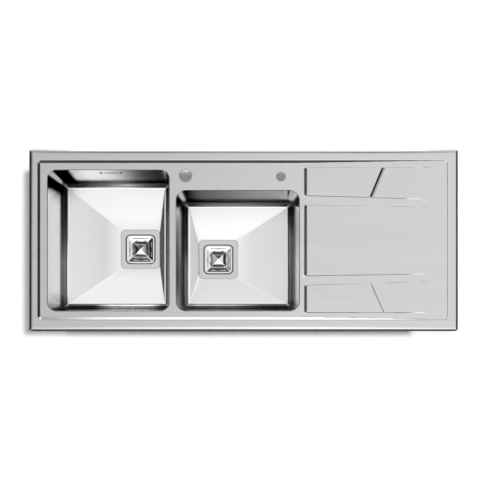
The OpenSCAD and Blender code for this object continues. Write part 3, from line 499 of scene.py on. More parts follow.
# %% From points to a finished piece
def make_mesh(name, part):
    """Mesh in metres from points in millimetres, with its faces turned outwards."""
    points, faces = part
    mesh = bpy.data.meshes.new(name)
    mesh.from_pydata([tuple(c * MM for c in p) for p in points], [], faces)
    work = bmesh.new()
    work.from_mesh(mesh)
    bmesh.ops.remove_doubles(work, verts=work.verts, dist=MERGE_DISTANCE)
    bmesh.ops.recalc_face_normals(work, faces=work.faces)
    work.to_mesh(mesh)
    work.free()
    return mesh


def finish_piece(name, mesh, material, body, replaces=None, sharp=32.0, weigh=True, below=None):
    """
    Smooth shading with sharp edges, a material, a body to ride on and the CAD node that the piece stands for,
    which has its name unless another is given. Below is a second material and a test that picks its faces.
    """
    mesh.materials.clear()
    mesh.materials.append(material)
    if below:
        mesh.materials.append(below[0])
        mesh.polygons.foreach_set("material_index", [int(below[1](polygon)) for polygon in mesh.polygons])
    if sharp is not None:
        mesh.shade_smooth()
        mesh.set_sharp_from_angle(angle=math.radians(sharp))
    piece = bpy.data.objects.new(name, mesh)
    scene.collection.objects.link(piece)
    if weigh:
        normals = piece.modifiers.new("weighted_normals", "WEIGHTED_NORMAL")
        normals.keep_sharp = True
        normals.weight = 90
    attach(piece, body)
    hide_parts(replaces or name)


def make_piece(name, part, material, body, weigh=True):
    """Turns points and faces into a finished piece."""
    finish_piece(name, make_mesh(name, part), material, body, weigh=weigh)

# %% [markdown]
# ## The deck
# The deck is one sheet of steel, pressed into a raised rim, a step, a ledge for the tap and three drainer
# panels. Its shape is a rule: for any point of the plan there is one height. So the sheet is made from that
# rule. Curves are laid where the steel bends, a constrained Delaunay triangulation joins them, and each
# point is lifted to its height. The underside is the same net moved one sheet's thickness along the
# surface's own normals, which also give the exact shading. An attribute paints shade into the steel: it
# darkens it a little towards the left, as the light falls off there. Bevels on a box would do for the rim
# alone, but where the slope, the panels and the grooves meet, a rule gives every corner by itself.

# %% Sizes of the rim, step and bowls
deck_low, deck_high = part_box("deck")
RIM_LOW = (deck_low.x / MM, deck_low.y / MM)
RIM_HIGH = (deck_high.x / MM, deck_high.y / MM)
RIM_TOP = deck_high.z / MM
SHEET = 1.0
CHAMFER, CHAMFER_SLOPE, ROLL = 5.4, 0.42, 9.5
RIM_CORNER = 6.0
STEP_LOW = (RIM_LOW[0] + 22.0, RIM_LOW[1] + 31.0)
STEP_HIGH = (RIM_HIGH[0] - 28.0, RIM_HIGH[1] - 29.0)
STEP_CORNER = 11.0
STEP_FALL = 0.6
# Tone of the deck along X: the photograph's light falls off towards the left
DECK_TONE_AT, DECK_TONE = (-560.0, -190.0, 160.0, 560.0), (0.81, 0.87, 0.98, 1.02)
DECK_Z = -1.0
LIP = 3.0

BOWLS = {
    "left": {"low": (-540.0, -194.0), "high": (-206.0, 194.0), "corner": 24.0, "waste": (-305.0, -8.0)},
    "right": {"low": (-185.0, -194.0), "high": (153.0, 138.0), "corner": 27.0, "waste": (-74.0, -38.0)},
}
HOLES = [((-160.0, 178.5), 17.5), ((103.0, 175.5), 12.5)]
HOLE_LIP = 1.2
print("rim", RIM_LOW, RIM_HIGH, "top", round(RIM_TOP, 2))

# %% Sizes of the drainer
SLOPE_FROM, SLOPE_TO = 161.0, 562.0
SLOPE_END_Z = 3.0
PANEL_Z = 2.6
PANEL_FRONT, PANEL_BACK, PANEL_END, PANEL_ROUND = 1.8, 0.9, 10.0, 0.75
PANELS = [
    [(176.0, 124.0), (540.0, 113.0), (540.0, 200.0), (176.0, 200.0)],
    [(176.0, -97.0), (540.0, -91.0), (540.0, 91.0), (176.0, 97.0)],
    [(176.0, -198.0), (540.0, -198.0), (540.0, -113.0), (176.0, -124.0)],
]
# Each groove: its two ends, its width left and right of the line, and its depth
GROOVES = [
    ((354.0, 120.0), (389.0, 204.0), 7.0, 3.0, 2.9),
    ((351.5, -120.0), (388.0, -202.0), 1.3, 1.3, 0.55),
]

# %% Bends and distances
# How softly the rule bends: in millimetres at the step and where the rim meets the deck, then in shares of
# the slope's length, of a panel's edge and of a groove's half width
STEP_BEND, DECK_BEND = 1.4, 0.2
SLOPE_BEND, PANEL_BEND = 0.015, 0.16
BED_BEND, EDGE_BEND = 0.12, 0.15


def soft_relu(x, s):
    """0 below -s, x above s, and a smooth bend between."""
    if x <= -s:
        return 0.0
    return x if x >= s else (x + s) ** 2 / (4 * s)


def ramp(t, soft):
    """0 to 1 as t goes from 0 to 1, with rounded ends."""
    return soft_relu(t, soft) - soft_relu(t - 1.0, soft)


def box_distance(x, y, low, high, radius):
    """Distance to a rounded rectangle, negative inside."""
    qx = abs(x - (low[0] + high[0]) / 2) - (high[0] - low[0]) / 2 + radius
    qy = abs(y - (low[1] + high[1]) / 2) - (high[1] - low[1]) / 2 + radius
    return math.hypot(max(qx, 0.0), max(qy, 0.0)) + min(max(qx, qy), 0.0) - radius


def panel_distance(x, y, panel):
    """0 on a panel's edge, 1 at the foot of its slope, negative on its flat top."""
    outside = []
    for i, (ax, ay) in enumerate(panel):
        bx, by = panel[(i + 1) % 4]
        length = math.hypot(bx - ax, by - ay)
        outside.append(((x - ax) * (by - ay) - (y - ay) * (bx - ax)) / length)
    u = max(outside[1], outside[3]) / PANEL_END + PANEL_ROUND
    v = max(outside[0] / PANEL_FRONT, outside[2] / PANEL_BACK) + PANEL_ROUND
    return math.hypot(max(u, 0.0), max(v, 0.0)) + min(max(u, v), 0.0) - PANEL_ROUND


def groove_drop(x, y, groove):
    """How deep the groove is at a point."""
    (ax, ay), (bx, by), left, right, depth = groove
    length = math.hypot(bx - ax, by - ay)
    across = ((x - ax) * (by - ay) - (y - ay) * (bx - ax)) / length
    share = across / right if across > 0 else -across / left
    return depth * (1.0 - soft_relu(share, BED_BEND) + soft_relu(share - 1.0, EDGE_BEND))


print("way in from the rim at the middle:", -box_distance(0.0, 0.0, RIM_LOW, RIM_HIGH, RIM_CORNER))

# %% Height of the deck
def deck_level(x, y):
    """The deck without its rim: level round the bowls, rising along the drainer, with the panels."""
    z = DECK_Z + (SLOPE_END_Z - DECK_Z) * ramp((x - SLOPE_FROM) / (SLOPE_TO - SLOPE_FROM), SLOPE_BEND)
    if x < SLOPE_FROM - 10:
        return z
    for panel, groove in zip(PANELS, (GROOVES[0], None, GROOVES[1])):
        share = 1.0 - ramp(panel_distance(x, y, panel), PANEL_BEND)
        if share > 0:
            top = PANEL_Z - (groove_drop(x, y, groove) if groove else 0.0)
            z += (top - z) * share
    return z


def deck_height(x, y):
    """The rim's chamfer and roll, then the step, and inside them the deck."""
    inside = -box_distance(x, y, RIM_LOW, RIM_HIGH, RIM_CORNER)
    roll_fall = RIM_TOP - SHEET - CHAMFER * CHAMFER_SLOPE
    rolled = RIM_TOP - roll_fall * min(max(1.0 - (inside - CHAMFER) / ROLL, 0.0), 1.0) ** 2
    z = rolled - CHAMFER_SLOPE * max(CHAMFER - inside, 0.0)
    z -= STEP_FALL * soft_relu(-box_distance(x, y, STEP_LOW, STEP_HIGH, STEP_CORNER), STEP_BEND)
    if inside < CHAMFER + ROLL:
        return z
    level = deck_level(x, y)
    return level + soft_relu(z - level, DECK_BEND)


marks = {"rim": (-578, 0), "deck": (-195, 0), "panel": (300, 0)}
print("heights:", {label: round(deck_height(x, y), 2) for label, (x, y) in marks.items()})

# %% Rolled edges of the openings
def nearest_lip(x, y):
    """The rolled edge that a point lies on, if any: distance to the opening, radius and way in."""
    for bowl in BOWLS.values():
        s = box_distance(x, y, bowl["low"], bowl["high"], bowl["corner"])
        if s < LIP:
            e = 0.01
            gx = box_distance(x + e, y, bowl["low"], bowl["high"], bowl["corner"]) - s
            gy = box_distance(x, y + e, bowl["low"], bowl["high"], bowl["corner"]) - s
            return max(s, 0.0), LIP, Vector((-gx, -gy, 0.0)).normalized()
    for (cx, cy), radius in HOLES:
        s = math.hypot(x - cx, y - cy) - radius
        if s < HOLE_LIP:
            return max(s, 0.0), HOLE_LIP, Vector((cx - x, cy - y, 0.0)).normalized()
    return None


def deck_point(x, y):
    """Height and normal of the deck's upper side."""
    e = 0.02
    z = deck_height(x, y)
    gx = (deck_height(x + e, y) - deck_height(x - e, y)) / (2 * e)
    gy = (deck_height(x, y + e) - deck_height(x, y - e)) / (2 * e)
    normal = Vector((-gx, -gy, 1.0)).normalized()
    lip = nearest_lip(x, y)
    if lip:
        s, radius, inwards = lip
        lean = (radius - s) / radius
        drop = radius - math.sqrt(max(radius ** 2 - (radius - s) ** 2, 0.0))
        normal = inwards * lean + Vector((0, 0, 1)) * math.sqrt(max(1 - lean ** 2, 0.0))
        z -= drop
    return z, normal


print("height at the left bowl's edge:", round(deck_point(BOWLS["left"]["low"][0], 0.0)[0], 2))

# %% [markdown]
# The curves run along the bends: rings round the rim, the step, the openings and the panels, and lines
# along the slanting grooves. A pair of rings beside each bend keeps the flats flat.

# %% Curves of the deck
# Where the curves run: in millimetres inwards from the rim and the step and outwards from the openings, in
# shares of a panel's slope, and in shares of a groove's half width
RIM_CURVES = (0.0, 1.5, 3.0, 4.6, 5.1, 5.4, 5.7, 6.4, 7.7, 9.0, 10.5, 12.0, 13.5, 14.9)
STEP_CURVES = (
    -5.0, -1.5, -0.8, 0.0, 0.8, 1.5, 2.2, 3.0, 4.0, 5.0, 6.0, 7.2, 8.2, 9.0, 9.6, 10.2, 10.9, 12.0, 15.0,
)
BOWL_CURVES = (0.0, 0.12, 0.4, 0.8, 1.3, 1.9, 2.5, 3.05, 5.0)
HOLE_CURVES = (0.0, 0.08, 0.25, 0.5, 0.8, 1.22, 2.5)
PANEL_CURVES = (-0.6, -0.17, -0.08, 0.0, 0.09, 0.18, 0.35, 0.5, 0.65, 0.82, 0.91, 1.0, 1.08, 1.17, 1.6)
GROOVE_CURVES = (0.13, 0.5, 0.86, 1.0, 1.12, 1.25)
GROOVE_PARTS = 24
PANEL_MIDDLE_X = 300.0


def grown(low, high, by):
    """The two corners of a rectangle, moved outwards."""
    return (low[0] - by, low[1] - by), (high[0] + by, high[1] + by)


def hole_curve(centre, radius, count=72):
    """Circle round a tap hole."""
    turns = [math.tau * k / count for k in range(count)]
    return [(centre[0] + radius * math.cos(a), centre[1] + radius * math.sin(a)) for a in turns]


def panel_curve(panel, t):
    """A panel's outline moved outwards by a share of its slope, with rounded corners."""
    middle_y = (panel[0][1] + panel[2][1]) / 2
    corners = []
    for x, y in panel:
        out_x = PANEL_END if x > PANEL_MIDDLE_X else -PANEL_END
        out_y = PANEL_BACK if y > middle_y else -PANEL_FRONT
        corners.append((x + out_x * t, y + out_y * t))
    return corner_ring(corners, max(3.0, 6.0 + 6.0 * t), 8, 20.0)


print("points round the first panel:", len(panel_curve(PANELS[0], 0.0)))

# %% Laying the curves
curves = []
for d in RIM_CURVES:
    low, high = grown(RIM_LOW, RIM_HIGH, -d)
    curves.append(box_ring(low, high, max(RIM_CORNER - d, 1.5), 8, 60.0))
for d in STEP_CURVES:
    low, high = grown(STEP_LOW, STEP_HIGH, -d)
    curves.append(box_ring(low, high, max(STEP_CORNER - d, 2.0), 8, 24.0))
opening_rings = []
for bowl in BOWLS.values():
    for d in BOWL_CURVES:
        low, high = grown(bowl["low"], bowl["high"], d)
        curves.append(box_ring(low, high, bowl["corner"] + d, CORNER_STEPS, 80.0))
        if d == 0.0:
            opening_rings.append(curves[-1])
for centre, radius in HOLES:
    for d in HOLE_CURVES:
        curves.append(hole_curve(centre, radius + d))
        if d == 0.0:
            opening_rings.append(curves[-1])
for panel in PANELS:
    curves += [panel_curve(panel, t) for t in PANEL_CURVES]
lines = []
for (ax, ay), (bx, by), left, right, _ in GROOVES:
    length = math.hypot(bx - ax, by - ay)
    nx, ny = (by - ay) / length, -(bx - ax) / length
    steps = range(GROOVE_PARTS + 1)
    along = [(ax + (bx - ax) * k / GROOVE_PARTS, ay + (by - ay) * k / GROOVE_PARTS) for k in steps]
    to_left = [-share * left for share in reversed(GROOVE_CURVES)]
    to_right = [share * right for share in GROOVE_CURVES]
    for across in to_left + [0.0] + to_right:
        lines.append([(x + nx * across, y + ny * across) for x, y in along])
for x in (SLOPE_FROM - 9, SLOPE_FROM - 6, SLOPE_FROM - 3, SLOPE_FROM, SLOPE_FROM + 3, SLOPE_FROM + 6):
    lines.append([(x, y) for y in range(-205, 206, 10)])
print("curves:", len(curves), "lines:", len(lines))

# %% Net of the deck
def inside_ring(ring, points):
    """Even-odd test of many points against one closed outline."""
    ring = np.array(ring)
    x, y = points[:, 0], points[:, 1]
    hit = np.zeros(len(points), bool)
    for (ax, ay), (bx, by) in zip(ring, np.roll(ring, -1, axis=0)):
        if ay == by:
            continue
        crosses = (ay > y) != (by > y)
        hit ^= crosses & (x < (bx - ax) * (y - ay) / (by - ay) + ax)
    return hit


flat_points, edges = [], []
for closed, group in ((True, curves), (False, lines)):
    for curve in group:
        base = len(flat_points)
        flat_points += [Vector(p) for p in curve]
        edges += [(base + k, base + k + 1) for k in range(len(curve) - 1)]
        if closed:
            edges.append((base + len(curve) - 1, base))
net_points, _, net_faces, *_ = delaunay_2d_cdt(flat_points, edges, [], 0, 1e-4)
plan = np.array([(p.x, p.y) for p in net_points])
triangles = np.array([tuple(f) for f in net_faces])
middles = plan[triangles].mean(axis=1)
kept = inside_ring(curves[0], middles)
for ring in opening_rings:
    kept &= ~inside_ring(ring, middles)
triangles = triangles[kept]
used, triangles = np.unique(triangles, return_inverse=True)
triangles = triangles.reshape(-1, 3)
plan = plan[used]
print("deck net:", len(plan), "points,", len(triangles), "triangles")

# %% Deck sheet
def sheet_from_net(name, plan, triangles, point_rule, thickness):
    """Closed sheet: upper side, underside along the normals, and a band round every free edge."""
    upper, normals = [], []
    for x, y in plan:
        z, normal = point_rule(float(x), float(y))
        upper.append(Vector((float(x), float(y), z)))
        normals.append(normal)
    lower = [p - n * thickness for p, n in zip(upper, normals)]
    count = len(upper)
    a, b, c = plan[triangles[:, 0]], plan[triangles[:, 1]], plan[triangles[:, 2]]
    turn = (b[:, 0] - a[:, 0]) * (c[:, 1] - a[:, 1]) - (b[:, 1] - a[:, 1]) * (c[:, 0] - a[:, 0])
    upwards = [t if s > 0 else t[::-1] for t, s in zip(triangles, turn) if abs(s) > 1e-9]
    faces = [tuple(int(i) for i in t) for t in upwards]
    edges = dict.fromkeys((face[i], face[(i + 1) % 3]) for face in faces for i in range(3))
    under = [tuple(count + i for i in reversed(face)) for face in faces]
    band = [(j, i, count + i, count + j) for i, j in edges if (j, i) not in edges]
    mesh = bpy.data.meshes.new(name)
    mesh.from_pydata([tuple(p * MM) for p in upper + lower], [], faces + under + band)
    mesh.shade_smooth()
    shading = []
    for polygon in mesh.polygons:
        side = polygon.index // len(faces) if polygon.index < 2 * len(faces) else 2
        for vertex in polygon.vertices:
            if side == 2:
                shading.append(polygon.normal.copy())
            else:
                shading.append(normals[vertex % count] * (1 if side == 0 else -1))
    mesh.normals_split_custom_set(shading)
    return mesh


deck_mesh = sheet_from_net("deck_sheet", plan, triangles, deck_point, SHEET)
deck_xs = [point.co.x / MM for point in deck_mesh.vertices]
loop_points = [loop.vertex_index for loop in deck_mesh.loops]
deck_tones = np.interp(deck_xs, DECK_TONE_AT, DECK_TONE)[loop_points]
# Painted shade: the deck's steel is darkened towards the left, where the light falls off
deck_mesh.attributes.new("painted_shade", "FLOAT", "CORNER").data.foreach_set("value", deck_tones)
deck_below = (satin_below, lambda polygon: polygon.normal.z < -0.3)
finish_piece(
    "deck_sheet", deck_mesh, satin_deck, "sink", "deck",
    sharp=None, weigh=False, below=deck_below,
)
print("deck sheet:", len(deck_mesh.polygons), "faces")

# %% [markdown]
# ## The bowls
# Each bowl is drawn from its own sheet and welded under the deck. It is a stack of rounded outlines: a wall
# that leans a little, a fillet at its foot, a floor of four facets that fall to the waste, and a square
# seat with the waste's hole. The rings run down the inside and back up the outside, one sheet further out.
# A box with bevelled edges would be quicker to make, but it can't give the lean of the walls and the four
# facets at once.

# %% Bowl rings
BOWL_TOP, BOWL_EDGE = -2.0, -3.6
WALL_LEAN = 10.0
FLOOR_Z_MM = -191.0
FLOOR_RADIUS = 17.0
SEAT_HALF, SEAT_CORNER = 58.0, 13.0
SEAT_TOP, SEAT_Z = -200.0, -202.7
HOLE_HALF, HOLE_CORNER = 46.0, 15.2
WALL_FOOT = FLOOR_Z_MM + FLOOR_RADIUS
SIDE_PARTS = 22


def divided(ring):
    """Divides the four straight sides of an outline, which end each run of corner points."""
    points = []
    for i, (p, q) in enumerate(zip(ring, ring[1:] + ring[:1])):
        parts = SIDE_PARTS if i % (CORNER_STEPS + 1) == CORNER_STEPS else 1
        points += [tuple(a + (b - a) * k / parts for a, b in zip(p, q)) for k in range(parts)]
    return points


def bowl_ring(bowl, inset, z):
    """A bowl's outline at one height, moved inwards from its opening."""
    low, high = grown(bowl["low"], bowl["high"], -inset)
    return at_height(box_ring(low, high, max(bowl["corner"] - inset, 1.5), CORNER_STEPS), z)


def part_way(outer, inner, share):
    """A ring between two rings of equal counts."""
    return [tuple(a + (b - a) * share for a, b in zip(p, q)) for p, q in zip(outer, inner)]


FILLET_PARTS = 14
SEAT_EDGE = 0.5
LIP_GAP = 0.02


def bowl_side(bowl, out):
    """Rings from the top edge to the waste hole; out is 0 for the inside and 1 for the outside."""
    rings = [bowl_ring(bowl, -LIP_GAP - out, BOWL_EDGE)]
    for share in (0.02, 0.1, 0.3, 0.6, 0.9):
        rings.append(bowl_ring(bowl, WALL_LEAN * share - out, BOWL_TOP + (WALL_FOOT - BOWL_TOP) * share))
    for k in range(FILLET_PARTS + 1):
        a = math.radians(90 * k / FILLET_PARTS)
        r = FLOOR_RADIUS + out
        rings.append(bowl_ring(bowl, WALL_LEAN + FLOOR_RADIUS - r * math.cos(a), WALL_FOOT - r * math.sin(a)))
    outer = bowl_ring(bowl, WALL_LEAN + FLOOR_RADIUS, FLOOR_Z_MM - out)
    half, corner = SEAT_HALF + out, SEAT_CORNER + out
    inner = at_height(square_ring(bowl["waste"], half, corner, CORNER_STEPS), SEAT_TOP - out)
    rings += [part_way(outer, inner, share) for share in (0.04, 0.35, 0.7, 0.97)]
    rings.append(inner)
    seat = square_ring(bowl["waste"], half - SEAT_EDGE, corner - SEAT_EDGE, CORNER_STEPS)
    rings.append(at_height(seat, SEAT_TOP - out - SEAT_EDGE))
    rings.append(at_height(seat, SEAT_Z - out))
    rings.append(at_height(square_ring(bowl["waste"], HOLE_HALF, HOLE_CORNER, CORNER_STEPS), SEAT_Z - out))
    return [divided(ring) for ring in rings]


bowl_meshes = {}
for side, bowl in BOWLS.items():
    rings = bowl_side(bowl, 0.0) + bowl_side(bowl, SHEET)[::-1]
    bowl_meshes[side] = make_mesh("bowl_" + side, skin(rings, loop=True))
print("bowl faces:", {side: len(mesh.polygons) for side, mesh in bowl_meshes.items()})

# %% [markdown]
# Dark corners, dark tight radii and darker walls in the bowls are painted shade and painted reflection: an
# attribute darkens the steel, while the floor stays pale and satin. In the white studio the mirrored room
# alone doesn't show this, so the darkening is worked out for each corner of each face: from the wall that
# the face belongs to, how far along the wall it lies and how far down the fillet. The floor's four facets
# get painted shades of their own and keep their crisp edges this way.

# %% Painted shade of the walls and facets
# For each wall: the share of its length, the painted shade of the wall and that of the fillet. Side walls run
# from
# the back. For each facet of the floor: its painted shade near the wall and near the waste.
BOWL_PAINTED_SHADES = {
    "left": {
        "back": (
            (0.0, 0.09, 0.08), (0.165, 0.09, 0.08), (0.185, 0.66, 0.15), (0.32, 0.8, 0.5), (0.48, 0.72, 0.85),
            (0.6, 0.5, 0.8), (0.7, 0.3, 0.4), (0.78, 0.22, 0.15), (0.92, 0.17, 0.05), (1.0, 0.3, 0.05),
        ),
        "left": (
            (0.0, 0.06, 0.08), (0.115, 0.06, 0.08), (0.14, 0.7, 0.08), (0.2, 1.0, 0.1), (0.42, 1.0, 0.3),
            (0.62, 1.0, 1.0), (0.85, 1.0, 0.9), (0.95, 0.62, 0.2), (1.0, 0.45, 0.1),
        ),
        "right": ((0.0, 0.25, 0.2), (0.3, 0.6, 0.9), (1.0, 0.7, 0.8)),
        "front": (
            (0.0, 0.2, 0.06), (0.3, 0.5, 0.08), (0.45, 0.8, 0.9), (0.8, 0.7, 0.9), (0.9, 0.4, 0.08),
            (1.0, 0.3, 0.06),
        ),
        "facets": {"left": (0.88, 0.62), "right": (1.0, 1.0), "back": (0.97, 1.0), "front": (1.0, 1.0)},
    },
    "right": {
        "back": (
            (0.0, 0.15, 0.08), (0.1, 0.16, 0.12), (0.18, 0.26, 0.3), (0.4, 0.33, 0.5), (0.6, 0.4, 0.5),
            (0.85, 0.46, 0.35), (0.93, 0.6, 0.07), (1.0, 0.7, 0.07),
        ),
        "left": (
            (0.0, 0.08, 0.08), (0.1, 0.10, 0.08), (0.16, 0.8, 0.1), (0.45, 0.7, 0.25), (0.65, 0.4, 0.9),
            (0.9, 0.4, 0.7), (1.0, 0.4, 0.1),
        ),
        "right": (
            (0.0, 0.2, 0.06), (0.08, 0.5, 0.06), (0.14, 0.95, 0.2), (0.3, 0.8, 1.0), (0.6, 1.0, 1.0),
            (0.88, 0.95, 0.9), (0.95, 0.8, 0.06), (1.0, 0.5, 0.06),
        ),
        "front": ((0.0, 0.3, 0.1), (0.15, 0.6, 0.6), (0.45, 0.6, 0.5), (0.7, 0.5, 0.1), (1.0, 0.3, 0.06)),
        "facets": {"left": (1.0, 1.0), "right": (0.74, 0.84), "back": (0.84, 1.0), "front": (0.94, 0.86)},
    },
}
# Painted reflection and shade: the paler streak down a bowl's corner, the seat's shade and the fillet's foot
CORNER_PAINTED_STREAK = 0.62
SEAT_PAINTED_SHADE = 0.9
# In shares of the way down the fillet: where its painted shade comes in, where it goes out, and where the
# foot starts
FILLET_IN, FILLET_OUT, FOOT_FROM = (0.25, 0.6), (0.93, 0.995), 0.97
FOOT_PAINTED_SHADE = 0.8
# How far a face is turned towards the diagonal when the painted reflection streak in a bowl's corner comes in
# and is full
PAINTED_STREAK_IN = (0.25, 0.8)
print("points along the back walls:", {side: len(looks["back"]) for side, looks in BOWL_PAINTED_SHADES.items()})

# %% Painted shade at a point
def eased(t, low, high):
    """0 below low, 1 above high, and a smooth way between."""
    t = min(max((t - low) / (high - low), 0.0), 1.0)
    return t * t * (3 - 2 * t)


def side_faced(normal):
    """The wall, or the floor's facet, that a normal belongs to."""
    if abs(normal.x) > abs(normal.y):
        return "left" if normal.x > 0 else "right"
    return "front" if normal.y > 0 else "back"


def painted_bowl_shade(bowl, looks, point, normal):
    """Painted shade of the inside of a bowl at a point, in millimetres, of a face with this normal."""
    x, y, z = point
    (x0, y0), (x1, y1) = bowl["low"], bowl["high"]
    side = side_faced(normal)
    if z < SEAT_TOP + 0.3 and normal.z > 0.99:
        return SEAT_PAINTED_SHADE
    if normal.z > 0.9 and z < FLOOR_Z_MM + 0.2:
        edge = {"left": (x - x0, bowl["waste"][0] - x0), "right": (x1 - x, x1 - bowl["waste"][0]),
                "back": (y1 - y, y1 - bowl["waste"][1]), "front": (y - y0, bowl["waste"][1] - y0)}[side]
        near_wall, near_waste = looks["facets"][side]
        return near_wall + (near_waste - near_wall) * min(max(edge[0] / edge[1], 0.0), 1.0)
    along = (x - x0) / (x1 - x0) if side in ("back", "front") else (y1 - y) / (y1 - y0)
    shares, walls, fillets = zip(*looks[side])
    down = (WALL_FOOT - z) / FLOOR_RADIUS
    fillet = eased(down, *FILLET_IN) * (1.0 - eased(down, *FILLET_OUT))
    painted_shade = np.interp(along, shares, walls) * (1.0 - fillet) + np.interp(along, shares, fillets) * fillet
    if down > FOOT_FROM:
        painted_shade = max(painted_shade, FOOT_PAINTED_SHADE)
    flat = sorted((abs(normal.x), abs(normal.y)))
    diagonal = eased(flat[0] / max(flat[1], 1e-6), *PAINTED_STREAK_IN)
    return painted_shade + (max(painted_shade, CORNER_PAINTED_STREAK) - painted_shade) * diagonal


print("a quarter of the way is eased to", eased(0.25, 0.0, 1.0))

# %% Writing the painted shade
def inside_bowl(bowl, polygon):
    """Whether a face looks at a point over the waste."""
    over_waste = Vector((*bowl["waste"], -60.0)) * MM
    return polygon.normal.dot(over_waste - polygon.center) > 0


def paint_bowl_shade(mesh, side):
    """Writes the painted shade and the satin attribute, one value for each corner of each face."""
    bowl, looks = BOWLS[side], BOWL_PAINTED_SHADES[side]
    painted_shades, satins = np.ones(len(mesh.loops)), np.zeros(len(mesh.loops))
    for polygon in mesh.polygons:
        if inside_bowl(bowl, polygon):
            for loop in polygon.loop_indices:
                point = mesh.vertices[mesh.loops[loop].vertex_index].co / MM
                painted_shades[loop] = painted_bowl_shade(bowl, looks, point, polygon.normal)
                satins[loop] = float(polygon.normal.z > 0.8)
    for name, values in (("painted_shade", painted_shades), ("satin", satins)):
        mesh.attributes.new(name, "FLOAT", "CORNER").data.foreach_set("value", values)
    return painted_shades

# %% [markdown]
# ## Trees for what repeats
# Drain holes, basket slots, grips, notches, threads and the eight clips repeat or follow a rule, so small
# Geometry Nodes trees make them. Each tree is built here with named inputs and serves many pieces: a ring
# of prisms punches holes when it is taken away and makes grips or ribs when it is added. The result becomes
# a plain mesh at once. An Array modifier could copy a hole too, but a tree takes its sizes as inputs and
# cuts in the same step.

# %% Starting, ending and running a tree
def start_tree(name, inputs):
    """A tree with a Geometry input, the named inputs and a Material input; also its input sockets."""
    tree = bpy.data.node_groups.new(name, "GeometryNodeTree")
    tree.interface.new_socket("Geometry", in_out="INPUT", socket_type="NodeSocketGeometry")
    for label, kind in inputs.items():
        tree.interface.new_socket(label, in_out="INPUT", socket_type="NodeSocket" + kind)
    tree.interface.new_socket("Material", in_out="INPUT", socket_type="NodeSocketMaterial")
    tree.interface.new_socket("Geometry", in_out="OUTPUT", socket_type="NodeSocketGeometry")
    return tree, add(tree, "NodeGroupInput").outputs


def end_tree(tree, geometry, given):
    """Ends a tree in Realize Instances and Set Material."""
    real = add(tree, "GeometryNodeRealizeInstances", {"Geometry": geometry}).outputs[0]
    painted = add(tree, "GeometryNodeSetMaterial", {"Geometry": real, "Material": given["Material"]})
    add(tree, "NodeGroupOutput", {"Geometry": painted.outputs[0]})
    return tree


def grow(tree, mesh, inputs):
    """Runs a tree on a mesh, with lengths in metres, and returns a plain mesh."""
    holder = bpy.data.objects.new("holder", mesh)
    scene.collection.objects.link(holder)
    modifier = holder.modifiers.new("tree", "NODES")
    modifier.node_group = tree
    sockets = {item.name: item.identifier for item in tree.interface.items_tree if item.in_out == "INPUT"}
    for label, value in inputs.items():
        modifier[sockets[label]] = value
    depsgraph = bpy.context.evaluated_depsgraph_get()
    plain = bpy.data.meshes.new_from_object(holder.evaluated_get(depsgraph), depsgraph=depsgraph)
    holder.modifiers.remove(modifier)
    bpy.data.objects.remove(holder)
    return plain


def maths(tree, operation, *values):
    """One step of arithmetic. Returns its socket."""
    return add(tree, "ShaderNodeMath", dict(enumerate(values)), operation=operation).outputs[0]


def vector(tree, x, y, z):
    """A vector of three values or sockets."""
    return add(tree, "ShaderNodeCombineXYZ", {"X": x, "Y": y, "Z": z}).outputs[0]


def plus(tree, a, b):
    """The sum of two vectors."""
    return add(tree, "ShaderNodeVectorMath", {0: a, 1: b}, operation="ADD").outputs[0]


def both_of(tree, first, second):
    """Joins two geometries into one."""
    node = add(tree, "GeometryNodeJoinGeometry")
    for geometry in (first, second):
        tree.links.new(geometry, node.inputs[0])
    return node.outputs[0]

# %% Tree: prisms in a ring
def ring_of_prisms_tree():
    """Prisms with rounded corners, turned outwards, in a ring; cut from the geometry or joined to it."""
    tree, given = start_tree("ring_of_prisms", {
        "Centre": "Vector", "Ring Radius": "Float", "Count": "Int", "First Turn": "Float",
        "Width": "Float", "Length": "Float", "Corner": "Float", "Height": "Float", "Cut": "Bool",
    })
    outline = add(tree, "GeometryNodeCurvePrimitiveQuadrilateral", {
        "Width": given["Width"], "Height": given["Length"],
    })
    rounded = add(tree, "GeometryNodeFilletCurve", {
        "Curve": outline.outputs[0], "Radius": given["Corner"], "Count": 6,
    }, mode="POLY")
    face = add(tree, "GeometryNodeFillCurve", {"Curve": rounded.outputs[0]}, mode="NGONS")
    up = vector(tree, 0.0, 0.0, given["Height"])
    side = add(tree, "GeometryNodeExtrudeMesh", {
        "Mesh": face.outputs[0], "Offset": up, "Offset Scale": 1.0, "Individual": False,
    }, mode="FACES")
    foot = add(tree, "GeometryNodeFlipFaces", {"Mesh": face.outputs[0]})
    shut = both_of(tree, side.outputs["Mesh"], foot.outputs[0])
    prism = add(tree, "GeometryNodeMergeByDistance", {"Geometry": shut, "Distance": MERGE_DISTANCE})
    share = maths(tree, "DIVIDE", add(tree, "GeometryNodeInputIndex").outputs[0], given["Count"])
    turn = maths(tree, "ADD", maths(tree, "MULTIPLY", share, math.tau), given["First Turn"])
    arm = vector(
        tree,
        maths(tree, "MULTIPLY", maths(tree, "COSINE", turn), given["Ring Radius"]),
        maths(tree, "MULTIPLY", maths(tree, "SINE", turn), given["Ring Radius"]),
        0.0,
    )
    places = add(tree, "GeometryNodePoints", {
        "Count": given["Count"], "Position": plus(tree, arm, given["Centre"]),
    })
    ring = add(tree, "GeometryNodeInstanceOnPoints", {
        "Points": places.outputs[0], "Instance": prism.outputs[0], "Rotation": vector(tree, 0.0, 0.0, turn),
    })
    solid = add(tree, "GeometryNodeRealizeInstances", {"Geometry": ring.outputs[0]}).outputs[0]
    punched = add(tree, "GeometryNodeMeshBoolean", {
        "Mesh 1": given["Geometry"], "Mesh 2": solid,
    }, operation="DIFFERENCE", solver="EXACT")
    chosen = add(tree, "GeometryNodeSwitch", {
        "Switch": given["Cut"], "False": both_of(tree, solid, given["Geometry"]), "True": punched.outputs[0],
    }, input_type="GEOMETRY")
    return end_tree(tree, chosen.outputs[0], given)


RING_OF_PRISMS = ring_of_prisms_tree()


